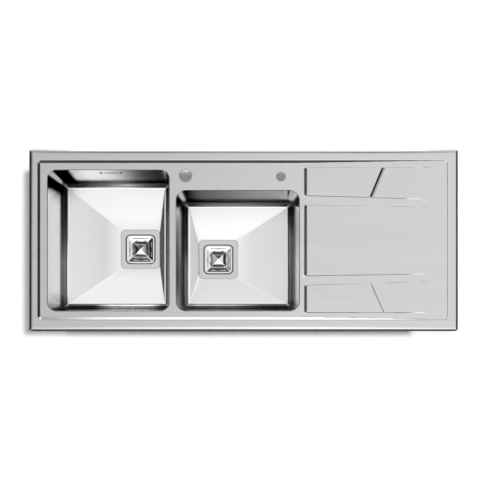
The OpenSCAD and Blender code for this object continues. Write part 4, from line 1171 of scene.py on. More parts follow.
def with_prisms(
    mesh, material, centre, radius, count, size, low, high, corner=None, first_turn=0.0, cut=True,
):
    """Cuts a ring of prisms from a mesh or adds it. Size is radial by tangential, in millimetres."""
    width, length = size
    if corner is None:
        corner = 0.49 * min(size)
    return grow(RING_OF_PRISMS, mesh, {
        "Centre": (centre[0] * MM, centre[1] * MM, low * MM),
        "Ring Radius": radius * MM,
        "Count": count,
        "First Turn": math.radians(first_turn),
        "Width": width * MM,
        "Length": length * MM,
        "Corner": corner * MM,
        "Height": (high - low) * MM,
        "Cut": cut,
        "Material": material,
    })


prism_inputs = [item.name for item in RING_OF_PRISMS.interface.items_tree if item.in_out == "INPUT"]
print("tree:", RING_OF_PRISMS.name, "inputs:", prism_inputs)

# %% Trees: thread, copies on points, corrugated pipe
def wound_thread_tree():
    """Joins a helical ridge to the geometry."""
    tree, given = start_tree("wound_thread", {
        "Foot": "Vector", "Radius": "Float", "Pitch": "Float",
        "Length": "Float", "Ridge": "Float", "Steps": "Int",
    })
    helix = add(tree, "GeometryNodeCurveSpiral", {
        "Resolution": given["Steps"],
        "Rotations": maths(tree, "DIVIDE", given["Length"], given["Pitch"]),
        "Start Radius": given["Radius"],
        "End Radius": given["Radius"],
        "Height": given["Length"],
    })
    profile = add(tree, "GeometryNodeCurvePrimitiveCircle", {
        "Resolution": 4, "Radius": given["Ridge"],
    }, mode="RADIUS")
    ridge = add(tree, "GeometryNodeCurveToMesh", {
        "Curve": helix.outputs[0], "Profile Curve": profile.outputs[0], "Fill Caps": True,
    })
    placed = add(tree, "GeometryNodeTransform", {"Geometry": ridge.outputs[0], "Translation": given["Foot"]})
    return end_tree(tree, both_of(tree, placed.outputs[0], given["Geometry"]), given)


def copies_on_points_tree():
    """Puts a copy of a shape on every point, turned about Z by the point's own turn attribute."""
    tree, given = start_tree("copies_on_points", {"Shape": "Object"})
    shape = add(tree, "GeometryNodeObjectInfo", {"Object": given["Shape"]}, transform_space="ORIGINAL")
    turn = add(tree, "GeometryNodeInputNamedAttribute", {"Name": "turn"}, data_type="FLOAT")
    copies = add(tree, "GeometryNodeInstanceOnPoints", {
        "Points": given["Geometry"],
        "Instance": shape.outputs["Geometry"],
        "Rotation": vector(tree, 0.0, 0.0, turn.outputs[0]),
    })
    return end_tree(tree, copies.outputs[0], given)


def corrugated_pipe_tree():
    """Sweeps a circle along the geometry's edges; its radius goes in and out with the way along the pipe."""
    tree, given = start_tree("corrugated_pipe", {
        "Radius": "Float", "Fold Depth": "Float", "Fold Length": "Float", "Step": "Float",
    })
    path = add(tree, "GeometryNodeMeshToCurve", {"Mesh": given["Geometry"]})
    even = add(tree, "GeometryNodeResampleCurve", {
        "Curve": path.outputs[0], "Length": given["Step"],
    }, mode="LENGTH")
    along = add(tree, "GeometryNodeSplineParameter").outputs["Length"]
    turns = maths(tree, "MULTIPLY", maths(tree, "DIVIDE", along, given["Fold Length"]), math.tau)
    dip = maths(tree, "MULTIPLY", maths(tree, "SUBTRACT", 1.0, maths(tree, "COSINE", turns)), 0.5)
    width = maths(tree, "SUBTRACT", given["Radius"], maths(tree, "MULTIPLY", dip, given["Fold Depth"]))
    profile = add(tree, "GeometryNodeCurvePrimitiveCircle", {"Resolution": 32, "Radius": 1.0}, mode="RADIUS")
    pipe = add(tree, "GeometryNodeCurveToMesh", {
        "Curve": even.outputs[0], "Profile Curve": profile.outputs[0], "Scale": width, "Fill Caps": True,
    })
    return end_tree(tree, pipe.outputs[0], given)


WOUND_THREAD = wound_thread_tree()
COPIES_ON_POINTS = copies_on_points_tree()
CORRUGATED_PIPE = corrugated_pipe_tree()


def with_thread(mesh, material, centre, radius, low, high, pitch, ridge, steps=24):
    """Winds a thread round an upright shank. Sizes are in millimetres, steps are for each turn."""
    return grow(WOUND_THREAD, mesh, {
        "Foot": (centre[0] * MM, centre[1] * MM, low * MM),
        "Radius": radius * MM,
        "Pitch": pitch * MM,
        "Length": (high - low) * MM,
        "Ridge": ridge * MM,
        "Steps": steps,
        "Material": material,
    })


print("trees:", [t.name for t in bpy.data.node_groups if t.bl_idname == "GeometryNodeTree"])

# %% [markdown]
# ## The square wastes
# Each bowl drains through a polished square flange with a dish in it and a round cup full of drain holes
# under the dish. It is pressed from one sheet, so a stack of outlines makes it: every outline has the same
# number of points, and so the square dish runs into the round cup without a seam. The ring tree then
# punches the holes. A Screw modifier makes round shapes only, which is why outlines are used.

# %% Stacks and turned shapes
ORIGIN = (0.0, 0.0)


def stack(centre, rows, base=0.0):
    """Outlines from rows of half width, corner radius and height. A row with no corner radius is round."""
    rings = []
    for half, corner, z in rows:
        if corner is None:
            ring = round_ring(centre, half)
        else:
            ring = square_ring(centre, half, corner, CORNER_STEPS)
        rings.append(at_height(ring, base + z))
    return rings


def turned(centre, rows, base=0.0, count=48, closed=False):
    """Turned shape from rows of radius and height: solid with flat ends, or closed on itself round a bore."""
    rings = [at_height(round_ring(centre, r, count), base + z) for r, z in rows]
    return skin(rings, caps=not closed, loop=closed)


def joined(meshes):
    """One mesh out of several."""
    work = bmesh.new()
    for mesh in meshes:
        work.from_mesh(mesh)
    work.to_mesh(meshes[0])
    work.free()
    return meshes[0]


def placed(mesh, matrix):
    """Moves a mesh by a matrix whose lengths are in millimetres."""
    mesh.transform(Matrix.Translation(matrix.translation * MM) @ matrix.to_3x3().to_4x4())
    return mesh


FLANGE_ROWS = [
    (57.0, 12.0, -1.2), (57.0, 12.0, -0.5), (56.8, 11.8, -0.15), (56.4, 11.4, 0.0),
    (45.2, 16.2, 0.0), (44.0, 15.0, -0.3), (43.3, 14.3, -1.0), (43.0, 14.0, -2.2),
    (43.0, 14.0, -11.0), (42.4, 13.4, -12.8), (41.2, 12.2, -13.7), (39.6, 10.6, -14.0),
    (32.8, None, -14.0), (31.7, None, -14.4), (31.1, None, -15.4), (31.0, None, -16.4),
    (31.0, None, -30.2), (30.4, None, -31.4), (29.0, None, -32.0), (3.2, None, -32.0),
    (3.2, None, -33.2), (29.6, None, -33.2), (31.4, None, -32.4), (32.2, None, -30.6),
    (32.2, None, -16.2), (34.0, None, -15.2), (40.6, 11.6, -15.2), (43.2, 14.2, -14.2),
    (44.2, 15.2, -12.2), (44.2, 15.2, -2.4), (44.7, 15.7, -1.6), (45.4, 16.4, -1.2),
]
DRAIN_RINGS = [(25.5, 14), (14.5, 7)]
DRAIN_HOLE = (6.0, 6.0)
DRAIN_LOW, DRAIN_HIGH = SEAT_TOP - 34.5, SEAT_TOP - 31.0

for side, bowl in BOWLS.items():
    at = bowl["waste"]
    mesh = make_mesh("waste_flange", skin(stack(at, FLANGE_ROWS, SEAT_TOP), loop=True))
    for ring_radius, count in DRAIN_RINGS:
        mesh = with_prisms(mesh, waste_steel, at, ring_radius, count, DRAIN_HOLE, DRAIN_LOW, DRAIN_HIGH)
    finish_piece("waste_flange_" + side, mesh, waste_steel, "sink")
    print("waste flange", side, "faces:", len(mesh.polygons))

# %% [markdown]
# ## The strainer baskets
# A basket is a shallow square pan on a round skirt. Rows of slots let the water through the pan, and
# windows let it out of the skirt. The slots are long prisms cut by the ring tree, four at a time. The knob
# is a low pyramid: its four flat faces each mirror another side of the room, which is why one is black and
# the next white. The basket and its rubber lift out together, so all three ride on the strainer's body.

# %% Baskets, seals and knobs
PAN_FLAT, PAN_UNDER, PAN_RUN = 22.0, 8.9, 3.0
PAN_ROWS = [
    (41.0, 12.0, -4.2), (41.0, 12.0, -3.4), (40.8, 11.8, -3.1), (40.4, 11.4, -3.0),
    (37.6, 8.6, -3.0), (37.0, 8.0, -3.1), (36.4, 7.6, -3.3), (22.5, 3.7, -7.9), (PAN_FLAT, 3.5, -8.1),
    (PAN_FLAT, 3.5, -9.2), (36.6, 7.8, -4.4), (37.4, 8.6, -4.2),
]
INNER_SLOTS = (24.7, (3.4, 31.0))
OUTER_SLOTS = (31.8, (3.4, 46.0))
SKIRT_R, SKIRT_BORE, SKIRT_Z = 27.0, 25.8, -28.0
STEM_R, STEM_HOLE = 4.0, 4.2
KNOB_ROWS = [
    (21.2, 2.7, -8.0), (21.5, 3.0, -7.7), (21.5, 3.0, -3.5), (21.35, 2.85, -3.15), (21.0, 2.5, -2.95),
    (1.8, 0.9, 2.85), (0.8, 0.4, 3.0),
]
SEAL_ROWS = [
    (28.6, -31.7), (30.4, -31.3), (30.4, -30.6), (29.2, -30.3), (29.2, -29.4),
    (30.4, -29.1), (30.4, -28.4), (28.8, -28.0), (22.0, -28.0), (22.0, -31.7),
]


def skirt_ring(centre, radius):
    """The skirt's top edge, which follows the underside of the pan."""
    points = []
    for x, y in round_ring(centre, radius):
        out = max(abs(x - centre[0]), abs(y - centre[1])) - PAN_FLAT
        points.append((x, y, SEAT_TOP - PAN_UNDER + max(out, 0.0) / PAN_RUN))
    return points


for side, bowl in BOWLS.items():
    at, body = bowl["waste"], "strainer_" + side
    pan = make_mesh("pan", skin(stack(at, PAN_ROWS, SEAT_TOP), loop=True))
    for ring_radius, size in (INNER_SLOTS, OUTER_SLOTS):
        pan = with_prisms(pan, basket_chrome, at, ring_radius, 4, size, SEAT_TOP - 12, SEAT_TOP)
    floor_rows = [(STEM_HOLE, None, SKIRT_Z), (SKIRT_R - 0.6, None, SKIRT_Z), (SKIRT_R, None, SKIRT_Z + 0.6)]
    inside_rows = [(SKIRT_BORE, None, SKIRT_Z + 2.0), (STEM_HOLE, None, SKIRT_Z + 2.0)]
    top_rings = [skirt_ring(at, SKIRT_R), skirt_ring(at, SKIRT_BORE)]
    skirt_rings = stack(at, floor_rows, SEAT_TOP) + top_rings + stack(at, inside_rows, SEAT_TOP)
    skirt = with_prisms(
        make_mesh("skirt", skin(skirt_rings, loop=True)), basket_chrome, at, SKIRT_R, 8, (6.0, 8.0),
        SEAT_TOP - 24, SEAT_TOP - 14, first_turn=22.5, corner=1.0,
    )
    basket = joined([pan, skirt])
    finish_piece("basket_" + side, basket, basket_chrome, body)

    stem = turned(at, [(STEM_R, SKIRT_Z), (STEM_R, -7.5)], SEAT_TOP, 24)
    knob = merged([skin(stack(at, KNOB_ROWS, SEAT_TOP), caps=True), stem])
    make_piece("basket_knob_" + side, knob, basket_chrome, body, weigh=False)
    seal = turned(at, SEAL_ROWS, SEAT_TOP, closed=True)
    make_piece("basket_seal_" + side, seal, black_rubber, body)
    print("basket", side, "faces:", len(basket.polygons))

# %% [markdown]
# ## Under the wastes
# A gasket lies under each flange and a thicker seal under the bowl, and a moulded plastic body hangs below,
# pulled up by one long screw. The body ends in a threaded outlet for the trap, and a port at its side takes
# the overflow pipe. The moulding is the same kind of stack as the flange. Ribs and the outlet's thread come
# from the trees.

# %% Gaskets, seals and screws
def washer(centre, half, corner, hole_half, hole_corner, low, high, edge=0.3):
    """Square ring of rubber with softened edges."""
    return skin(stack(centre, [
        (half - edge, corner, low), (half, corner, low + edge),
        (half, corner, high - edge), (half - edge, corner, high),
        (hole_half + edge, hole_corner, high), (hole_half, hole_corner, high - edge),
        (hole_half, hole_corner, low + edge), (hole_half + edge, hole_corner, low),
    ]), loop=True)


def slit_head(centre, radius, low, high, slit, depth):
    """Round screw head with a slit across it: a disc and the two halves beside the slit."""
    x0, y0 = centre
    reach = math.degrees(math.acos(slit / 2 / radius))
    turns = [math.radians(a) for a in np.linspace(-reach, reach, 19)]
    parts = [turned(centre, [(radius - 0.4, low), (radius, low + 0.4), (radius, high - depth)], count=36)]
    for side in (1, -1):
        half = [(x0 + side * radius * math.sin(a), y0 + side * radius * math.cos(a)) for a in turns]
        top = [(x0 + (x - x0) * 0.93, y0 + (y - y0) * 0.93 + side * 0.05) for x, y in half]
        rings = [at_height(half, high - depth - 0.1), at_height(half, high - 0.4), at_height(top, high)]
        parts.append(skin(rings, caps=True))
    return merged(parts)


GASKET_HALF, SEAL_HALF = 56.5, 54.0
SEAL_LOW, SEAL_HIGH = -206.7, -203.7
SCREW_R, SCREW_FOOT, CUP_Z = 2.9, -247.2, -232.0
for side, bowl in BOWLS.items():
    at = bowl["waste"]
    gasket = washer(at, GASKET_HALF, 12.0, HOLE_HALF, HOLE_CORNER, SEAT_Z, SEAT_Z + 1.5)
    make_piece("waste_gasket_" + side, gasket, black_rubber, "sink")
    seal = washer(at, SEAL_HALF, 12.0, HOLE_HALF, HOLE_CORNER, SEAL_LOW, SEAL_HIGH, 0.7)
    make_piece("waste_seal_" + side, seal, black_rubber, "sink")
    shank_rows = [(SCREW_R - 0.6, SCREW_FOOT), (SCREW_R, SCREW_FOOT + 0.6), (SCREW_R, CUP_Z + 0.5)]
    screw = merged([slit_head(at, 6.0, CUP_Z, CUP_Z + 3.0, 1.6, 1.5), turned(at, shank_rows, count=24)])
    make_piece("waste_screw_" + side, screw, waste_steel, "sink")
print("screw length:", round(CUP_Z - SCREW_FOOT, 1))

# %% Waste bodies
BODY_ROWS = [
    (54.0, 12.0, -206.7), (54.0, 12.0, -210.2), (53.5, 11.5, -210.7), (51.0, 20.2, -210.7),
    (49.6, 18.8, -211.3), (49.0, 18.2, -212.6), (49.0, 18.2, -219.2), (48.2, 17.4, -220.8),
    (46.5, 15.7, -221.2), (40.8, None, -221.2), (39.6, None, -221.8), (39.2, None, -223.2),
    (39.2, None, -236.2), (38.6, None, -237.6), (24.4, None, -248.8), (23.9, None, -250.0),
    (23.9, None, -252.4), (23.1, None, -253.0), (23.1, None, -276.6), (22.5, None, -277.2),
    (21.4, None, -277.2), (20.9, None, -276.7), (20.9, None, -249.2), (36.2, None, -237.2),
    (36.2, None, -218.2), (46.0, 15.2, -218.2), (46.0, 15.2, -206.7),
]
BOSS_ROWS = [(3.0, -249.2), (7.0, -249.2), (7.0, -238.2), (6.5, -237.7), (3.5, -237.7), (3.0, -238.2)]
PORT_Z, PORT_R, PORT_BORE, PORT_END = -228.7, 12.3, 10.3, 62.0
PORT_ROWS = [
    (PORT_R, 36.8), (PORT_R, 58.0), (PORT_R + 0.9, 58.6), (PORT_R + 0.9, 61.4), (PORT_R + 0.3, PORT_END),
    (PORT_BORE + 0.3, PORT_END), (PORT_BORE, 61.6), (PORT_BORE, 36.8),
]
OVERFLOW_PIPE_AT = (-370.0, 210.5)
left_at = BOWLS["left"]["waste"]
PORT_ANGLE = math.degrees(math.atan2(OVERFLOW_PIPE_AT[1] - left_at[1], OVERFLOW_PIPE_AT[0] - left_at[0]))


def along_port(centre):
    """Turns a shape made upright at the origin so that its axis runs out through a waste's port."""
    way = Matrix.Rotation(math.radians(PORT_ANGLE), 4, "Z")
    return Matrix.Translation((*centre, PORT_Z)) @ way @ Matrix.Rotation(math.radians(90), 4, "Y")


for side, bowl in BOWLS.items():
    at = bowl["waste"]
    port = moved(turned(ORIGIN, PORT_ROWS, closed=True), along_port(at))
    boss = turned(at, BOSS_ROWS, count=32, closed=True)
    mesh = make_mesh("waste_body", merged([skin(stack(at, BODY_ROWS), loop=True), port, boss]))
    mesh = with_prisms(
        mesh, white_plastic, at, 14.4, 3, (15.0, 3.0), -249.2, -243.2,
        corner=0.4, first_turn=PORT_ANGLE + 60, cut=False,
    )
    mesh = with_prisms(
        mesh, white_plastic, at, 40.0, 12, (4.0, 2.0), -236.0, -220.9,
        corner=0.8, first_turn=PORT_ANGLE + 15, cut=False,
    )
    mesh = with_thread(mesh, white_plastic, at, 23.1, -275.4, -254.4, 2.309, 0.8, 48)
    finish_piece("waste_body_" + side, mesh, white_plastic, "sink")
    print("waste body", side, "faces:", len(mesh.polygons))

# %% [markdown]
# ## The overflow
# A slot high in the left bowl's back wall takes the water that would run over. Behind it a gasket and a
# plastic housing are held by two screws, whose heads show inside the bowl. These are drawn lying flat and
# then stood against the wall, which leans a little. A corrugated pipe leads from the housing down to the
# left waste.

# %% Overflow fittings
OVERFLOW_Z = -39.0
LEAN_AT_SLOT = WALL_LEAN * (BOWL_TOP - OVERFLOW_Z) / (BOWL_TOP - WALL_FOOT)
OVERFLOW_AT = (-370.0, BOWLS["left"]["high"][1] + SHEET - LEAN_AT_SLOT, OVERFLOW_Z)
WALL_ANGLE = math.atan(WALL_LEAN / (BOWL_TOP - WALL_FOOT))
SLOT_L, SLOT_H = 42.0, 9.0
EAR_AT = 28.0
LEANING = Matrix.Translation(OVERFLOW_AT) @ Matrix.Rotation(-WALL_ANGLE, 4, "X")
ON_WALL = LEANING @ Matrix.Rotation(math.radians(-90), 4, "X")


def block_rings(half_l, low_y, high_y, radius, levels):
    """Rounded boxes from rows of inset and height."""
    rings = []
    for inset, z in levels:
        low, high = (inset - half_l, low_y + inset), (half_l - inset, high_y - inset)
        rings.append(at_height(box_ring(low, high, max(radius - inset, 0.3), 6), z))
    return rings


def screw_head(centre, radius, low, high):
    """Low domed head."""
    tall = high - low
    return turned(centre, [
        (radius, low), (radius, low + 0.5 * tall), (0.86 * radius, low + 0.8 * tall),
        (0.5 * radius, high - 0.05 * tall), (0.1 * radius, high),
    ], count=32)


wall = placed(bowl_meshes["left"], ON_WALL.inverted())
wall = with_prisms(wall, satin_bowl, ORIGIN, 0.0, 1, (SLOT_L, SLOT_H), -3.0, 2.0)
bowl_meshes["left"] = placed(wall, ON_WALL)
for side, mesh in bowl_meshes.items():
    # Painted shade and painted reflection go into each bowl's steel here
    values = paint_bowl_shade(mesh, side)
    hidden = (satin_below, lambda polygon, bowl=BOWLS[side]: not inside_bowl(bowl, polygon))
    finish_piece("bowl_" + side, mesh, satin_bowl, "sink", below=hidden)
    least, most = round(float(values.min()), 2), round(float(values.max()), 2)
    print("bowl", side, "faces:", len(mesh.polygons), "tone from", least, "to", most)

gasket_shape = skin(
    block_rings(35.0, -12.0, 12.0, 3.0, [(0.3, 0.1), (0.0, 0.4), (0.0, 1.7), (0.3, 2.0)])
    + block_rings(21.0, -4.5, 4.5, 4.4, [(0.0, 2.0), (0.0, 0.1)]), loop=True)
make_piece("overflow_gasket", moved(gasket_shape, ON_WALL), black_rubber, "sink")

housing_flange = skin(
    block_rings(35.0, -12.0, 12.0, 4.0, [(0.0, 2.0), (0.0, 5.2), (0.8, 6.0)])
    + block_rings(20.0, -4.5, 4.5, 4.4, [(0.0, 6.0), (0.0, 2.0)]), loop=True)
housing_block = skin(
    block_rings(20.0, -9.0, 13.0, 2.0, [(0.0, 22.0), (0.0, 5.8)])
    + block_rings(23.0, -12.0, 16.0, 4.0, [(0.0, 5.8), (0.0, 23.6), (0.5, 24.5), (1.4, 25.0)]), caps=True)
socket = turned(OVERFLOW_PIPE_AT, [(12.3, -73.0), (12.3, -42.5), (10.3, -42.5), (10.3, -73.0)], closed=True)
housing = merged([moved(housing_flange, ON_WALL), moved(housing_block, ON_WALL), socket])
make_piece("overflow_housing", housing, white_plastic, "sink")

screws = []
for x in (-EAR_AT, EAR_AT):
    shank = turned((x, 0), [(1.6, -7.0), (1.8, -6.6), (1.8, 1.5)], count=20)
    head = make_mesh("head", merged([screw_head((x, 0), 4.0, 1.1, 3.4), shank]))
    screws.append(with_prisms(head, waste_steel, (x, 0), 1.4, 4, (1.8, 0.8), 2.3, 4.0, corner=0.2))
screws = placed(joined(screws), ON_WALL @ Matrix.Rotation(math.pi, 4, "X"))
finish_piece("overflow_screws", screws, waste_steel, "sink")
print("wall leans", round(math.degrees(WALL_ANGLE), 2), "degrees")

# %% Overflow pipe, nuts and cap
PIPE_R, PIPE_BEND = 10.0, 40.0
run = math.dist(OVERFLOW_PIPE_AT, left_at) - PORT_END + 14.0
to_waste = direction(PORT_ANGLE + 180, 90)
pipe_top = Vector((*OVERFLOW_PIPE_AT, -59.0))
bend_top = Vector((*OVERFLOW_PIPE_AT, PORT_Z + PIPE_BEND))
path = [pipe_top]
for k in range(17):
    a = math.radians(90 * k / 16)
    path.append(bend_top + to_waste * PIPE_BEND * (1 - math.cos(a)) - Vector((0, 0, PIPE_BEND * math.sin(a))))
path.append(bend_top + to_waste * run - Vector((0, 0, PIPE_BEND)))
path_mesh = bpy.data.meshes.new("pipe_path")
path_mesh.from_pydata([tuple(p * MM) for p in path], [(i, i + 1) for i in range(len(path) - 1)], [])
pipe = grow(CORRUGATED_PIPE, path_mesh, {
    "Radius": PIPE_R * MM,
    "Fold Depth": 1.3 * MM,
    "Fold Length": 4.0 * MM,
    "Step": 0.8 * MM,
    "Material": white_plastic,
})
finish_piece("overflow_pipe", pipe, white_plastic, "sink")

nuts = []
for low, matrix in ((-83.0, Matrix.Translation((*OVERFLOW_PIPE_AT, 0.0))), (PORT_END, along_port(left_at))):
    nut = turned(ORIGIN, [
        (10.3, low), (13.7, low), (14.5, low + 0.8),
        (14.5, low + 9.2), (13.7, low + 10.0), (10.3, low + 10.0),
    ], closed=True)
    mesh = make_mesh("nut", nut)
    mesh = with_prisms(mesh, white_plastic, ORIGIN, 14.4, 12, (2.0, 2.4), low + 0.5, low + 9.5, cut=False)
    nuts.append(placed(mesh, matrix))
finish_piece("overflow_nuts", joined(nuts), white_plastic, "sink")

cap_rows = [(9.8, 54.0), (10.0, 54.4), (10.0, 61.8), (13.3, 62.1), (13.3, 65.4), (12.6, 66.0)]
cap = make_mesh("cap", turned(ORIGIN, cap_rows))
cap = with_prisms(cap, white_plastic, ORIGIN, 13.2, 20, (1.2, 1.6), 62.3, 65.2, cut=False)
cap = placed(cap, along_port(BOWLS["right"]["waste"]))
finish_piece("port_cap_right", cap, white_plastic, "sink")
print("overflow pipe:", len(pipe.polygons), "faces, port turned", round(PORT_ANGLE, 1), "degrees")

# %% [markdown]
# ## Under the deck
# The underside carries what the worktop hides: a stiffening plate under the tap ledge, two hat-shaped rails
# and a sheet of bitumen under the drainer, a sheet under each bowl that keeps the water from drumming, a
# rubber strip under the rim and a tag for the earth wire. Most are bars: one profile carried straight along
# an axis.

# %% Bars
def bar(profile, axis, low, high):
    """Solid with the profile's outline all along X or Y. The profile's points are across and up."""
    if axis == "X":
        rings = [[(t, u, v) for u, v in profile] for t in (low, high)]
    else:
        rings = [[(u, t, v) for u, v in profile] for t in (low, high)]
    return skin(rings, caps=True)


LEDGE_LOW, LEDGE_HIGH = (-192.0, 150.0), (135.0, 204.0)
ledge_rings = []
for inset, z in ((0.3, -5.0), (0.0, -4.7), (0.0, -2.3), (0.3, -2.02)):
    low, high = grown(LEDGE_LOW, LEDGE_HIGH, -inset)
    ledge_rings.append(at_height(box_ring(low, high, 3.0, 6), z))
plate = make_mesh("ledge", skin(ledge_rings, caps=True))
for centre, radius in HOLES:
    square = (2 * radius, 2 * radius)
    plate = with_prisms(plate, zinc, centre, 0.0, 1, square, -6.0, -1.0, corner=0.995 * radius)
finish_piece("tap_ledge_plate", plate, zinc, "sink")

STRIP_X, STRIP_Y, STRIP_W = 583.9, 243.9, 6.0
strips = []
for way in (-1, 1):
    for axis, out, reach in (("X", STRIP_Y, STRIP_X - 3.0), ("Y", STRIP_X, STRIP_Y - STRIP_W - 0.1)):
        near, far = sorted((way * out, way * (out - STRIP_W)))
        strip = [
            (near, 1.0), (near + 0.3, 0.3), (near + 1.0, 0.0), (far - 1.0, 0.0),
            (far - 0.3, 0.3), (far, 1.0), (far, 2.9), (near, 2.9),
        ]
        strips.append(bar(strip, axis, -reach, reach))
make_piece("rim_seal", merged(strips), seal_rubber, "sink")
print("sealing strips:", len(strips))

# %% Drainer braces and sound-deadening sheets
BRACE_XS, BRACE_Y = (251.0, 441.0), (-199.0, 201.0)
SLOPE_ANGLE = math.atan((SLOPE_END_Z - DECK_Z) / (SLOPE_TO - SLOPE_FROM))
hat = corner_ring([
    (-22.0, -1.2), (-10.0, -1.2), (-10.0, -14.0), (10.0, -14.0), (10.0, -1.2), (22.0, -1.2),
    (22.0, 0.0), (8.8, 0.0), (8.8, -12.8), (-8.8, -12.8), (-8.8, 0.0), (-22.0, 0.0),
], 0.5, 4)
braces = []
for x in BRACE_XS:
    lift = DECK_Z - SHEET + (x - SLOPE_FROM) * math.tan(SLOPE_ANGLE)
    leaning = Matrix.Translation((x, 0, lift)) @ Matrix.Rotation(-SLOPE_ANGLE, 4, "Y")
    braces.append(moved(bar(hat, "Y", *BRACE_Y), leaning))
make_piece("drainer_braces", merged(braces), zinc, "sink")

drainer_pad = skin([
    at_height(box_ring((277.0 + inset, -71.0 + inset), (415.0 - inset, 71.0 - inset), 4.0, 5), z)
    for inset, z in ((0.8, -1.4), (0.2, -1.1), (0.0, -0.6), (0.0, 1.55))
], caps=True)
make_piece("sound_deadener_drainer", drainer_pad, bitumen, "sink")


def floor_ring(bowl, share, drop):
    """Outline on the underside of the floor, part of the way from its edge to the seat."""
    outer = bowl_ring(bowl, WALL_LEAN + FLOOR_RADIUS, FLOOR_Z_MM - SHEET - drop)
    seat = square_ring(bowl["waste"], SEAT_HALF + SHEET, SEAT_CORNER + SHEET, CORNER_STEPS)
    return part_way(outer, at_height(seat, SEAT_TOP - SHEET - drop), share)


PAD_T, PAD_GAP = 3.0, 0.1
for side, bowl in BOWLS.items():
    pad = skin([floor_ring(bowl, share, drop) for share, drop in (
        (0.25, PAD_GAP), (0.25, PAD_T - 0.8), (0.262, PAD_T - 0.2), (0.28, PAD_T + PAD_GAP),
        (0.79, PAD_T + PAD_GAP), (0.808, PAD_T - 0.2), (0.82, PAD_T - 0.8), (0.82, PAD_GAP),
    )], loop=True)
    make_piece("sound_deadener_" + side, pad, bitumen, "sink")
print("brace leans", round(math.degrees(SLOPE_ANGLE), 2), "degrees")

# %% Earth tag and its screw
TAG_X, TAG_Y, TAG_HOLE_Z = 154.0, 177.0, -17.0
tag_profile = corner_ring([
    (TAG_X, -24.0), (TAG_X + 1.5, -24.0), (TAG_X + 1.5, -2.0),
    (TAG_X - 14.0, -2.0), (TAG_X - 14.0, -3.5), (TAG_X, -3.5),
], 0.6, 4)
make_piece("earth_tag", bar(tag_profile, "Y", TAG_Y - 7.0, TAG_Y + 7.0), zinc, "sink")


def hexagon(radius, low, high, chamfer=0.5):
    """Hexagonal head or nut with softened ends."""
    corners = [math.radians(60 * k) for k in range(6)]
    rows = [
        (radius - chamfer, low), (radius, low + 0.6 * chamfer),
        (radius, high - 0.6 * chamfer), (radius - chamfer, high),
    ]
    return skin([[(r * math.cos(a), r * math.sin(a), z) for a in corners] for r, z in rows], caps=True)


earth = merged([
    hexagon(5.0, -4.0, 0.0),
    turned(ORIGIN, [(2.1, -8.0), (2.5, -7.6), (2.5, 2.0)], count=24),
    screw_head(ORIGIN, 5.0, 1.5, 4.0),
])
to_x = Matrix.Translation((TAG_X, TAG_Y, TAG_HOLE_Z)) @ Matrix.Rotation(math.radians(90), 4, "Y")
make_piece("earth_screw", moved(earth, to_x), brass, "sink")

# %% [markdown]
# ## Clips
# Eight clips hold the sink down. Each is a bent bracket under the rim, a nut, a long screw and a claw that
# swings out below the worktop and bites into it. One bracket, one nut and one screw are drawn, and a tree
# copies each onto eight points, turned by the points' own attribute. Each claw swings by itself, so the
# claws stay separate pieces. Linked copies of an object would look the same, but the pieces have to be
# plain meshes with their places in them.

# %% Brackets, nuts and screws
CLIPS = [((x, y), turn) for y, turn in ((217.0, 90), (-215.0, 270)) for x in (-470.0, 10.0, 450.0)]
CLIPS += [((-564.0, 0.0), 180), ((558.0, 0.0), 0)]
FOOT_Z, CLAW_LOW, CLAW_HIGH = -12.0, -36.0, -34.0

bent = corner_ring([
    (4.5, 1.55), (4.5, 2.98), (11.0, 2.98), (11.0, FOOT_Z),
    (-7.6, FOOT_Z), (-7.6, FOOT_Z + 1.5), (9.5, FOOT_Z + 1.5), (9.5, 1.55),
], 0.6, 5)
bracket = make_mesh("bracket", bar(bent, "Y", -11.0, 11.0))
bracket = with_prisms(bracket, zinc, ORIGIN, 0.0, 1, (6.0, 6.0), FOOT_Z - 1, FOOT_Z + 3)
nut = make_mesh("nut", hexagon(5.6, FOOT_Z - 5.0, FOOT_Z))
shank = merged([
    turned(ORIGIN, [(2.5, -38.5), (2.5, -6.9), (2.0, -6.0)], count=24),
    turned(ORIGIN, [(5.2, -38.3), (5.5, -38.0), (5.5, -36.6), (5.2, -36.3)], count=32),
    turned(ORIGIN, [(5.2, -33.7), (5.5, -33.5), (5.5, -32.9), (5.2, -32.7)], count=32),
    hexagon(5.6, -44.3, -38.2),
])
screw = with_thread(make_mesh("screw", shank), zinc, ORIGIN, 2.45, -32.5, -7.2, 1.0, 0.45, 18)
for mesh in (bracket, nut, screw):
    mesh.shade_flat()

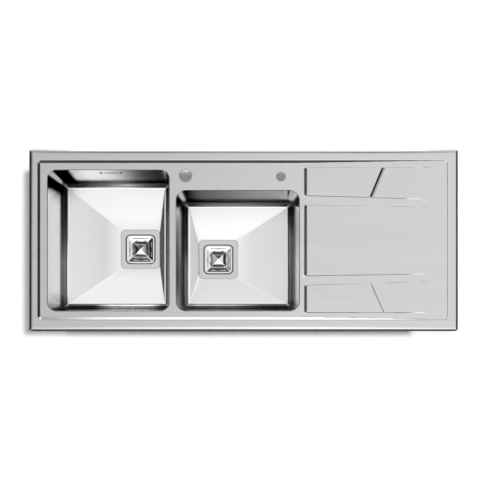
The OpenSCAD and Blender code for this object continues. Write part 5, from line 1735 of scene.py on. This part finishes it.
places = bpy.data.meshes.new("clip_places")
places.from_pydata([(x * MM, y * MM, 0.0) for (x, y), _ in CLIPS], [], [])
turns = places.attributes.new("turn", "FLOAT", "POINT")
turns.data.foreach_set("value", [math.radians(turn) for _, turn in CLIPS])
for name, mesh in (("clip_brackets", bracket), ("clip_nuts", nut), ("clip_screws", screw)):
    shape = bpy.data.objects.new(name + "_shape", mesh)
    copies = grow(COPIES_ON_POINTS, places.copy(), {"Shape": shape, "Material": zinc})
    bpy.data.objects.remove(shape)
    finish_piece(name, copies, zinc, "sink")
    print(name, "faces:", len(copies.polygons))

# %% Claws
CLAW_HALF, CLAW_REACH, CLAW_TIP_Z = 7.0, 30.0, -28.0
middle = (CLAW_LOW + CLAW_HIGH) / 2
stations = []
for degrees in np.linspace(4, 90, 9):
    a = math.radians(degrees)
    stations.append((-CLAW_HALF * math.cos(a), middle, 90.0, CLAW_HALF * math.sin(a)))
for degrees in np.linspace(0, 90, 6):
    a = math.radians(degrees)
    x, z = CLAW_REACH - 2.5 + 1.5 * math.sin(a), middle + 1.5 * (1 - math.cos(a))
    stations.append((x, z, 90.0 + degrees, CLAW_HALF))
stations.append((CLAW_REACH - 1.0, CLAW_TIP_Z, 180.0, CLAW_HALF))
rings = []
for x, z, normal, half in stations:
    nx, nz = math.cos(math.radians(normal)), math.sin(math.radians(normal))
    rings.append([
        (x + nx, half, z + nz), (x + nx, -half, z + nz), (x - nx, -half, z - nz), (x - nx, half, z - nz),
    ])
claw_shape = make_mesh("claw", skin(rings, caps=True))
claw_shape = with_prisms(claw_shape, zinc, ORIGIN, 0.0, 1, (6.4, 6.4), CLAW_LOW - 1, CLAW_HIGH + 1)
claw_shape = with_prisms(
    claw_shape, zinc, (CLAW_REACH - 1, 0.0), 2.0, 2, (2.0, 5.0), CLAW_TIP_Z - 2.0, CLAW_TIP_Z + 1,
    corner=0.4, first_turn=90,
)
for i, (at, turn) in enumerate(CLIPS, 1):
    resting = Matrix.Translation((*at, 0.0)) @ Matrix.Rotation(math.radians(turn - 90), 4, "Z")
    finish_piece(f"clip_claw_{i}", placed(claw_shape.copy(), resting), zinc, f"claw_{i}")
print("claws:", len(CLIPS))
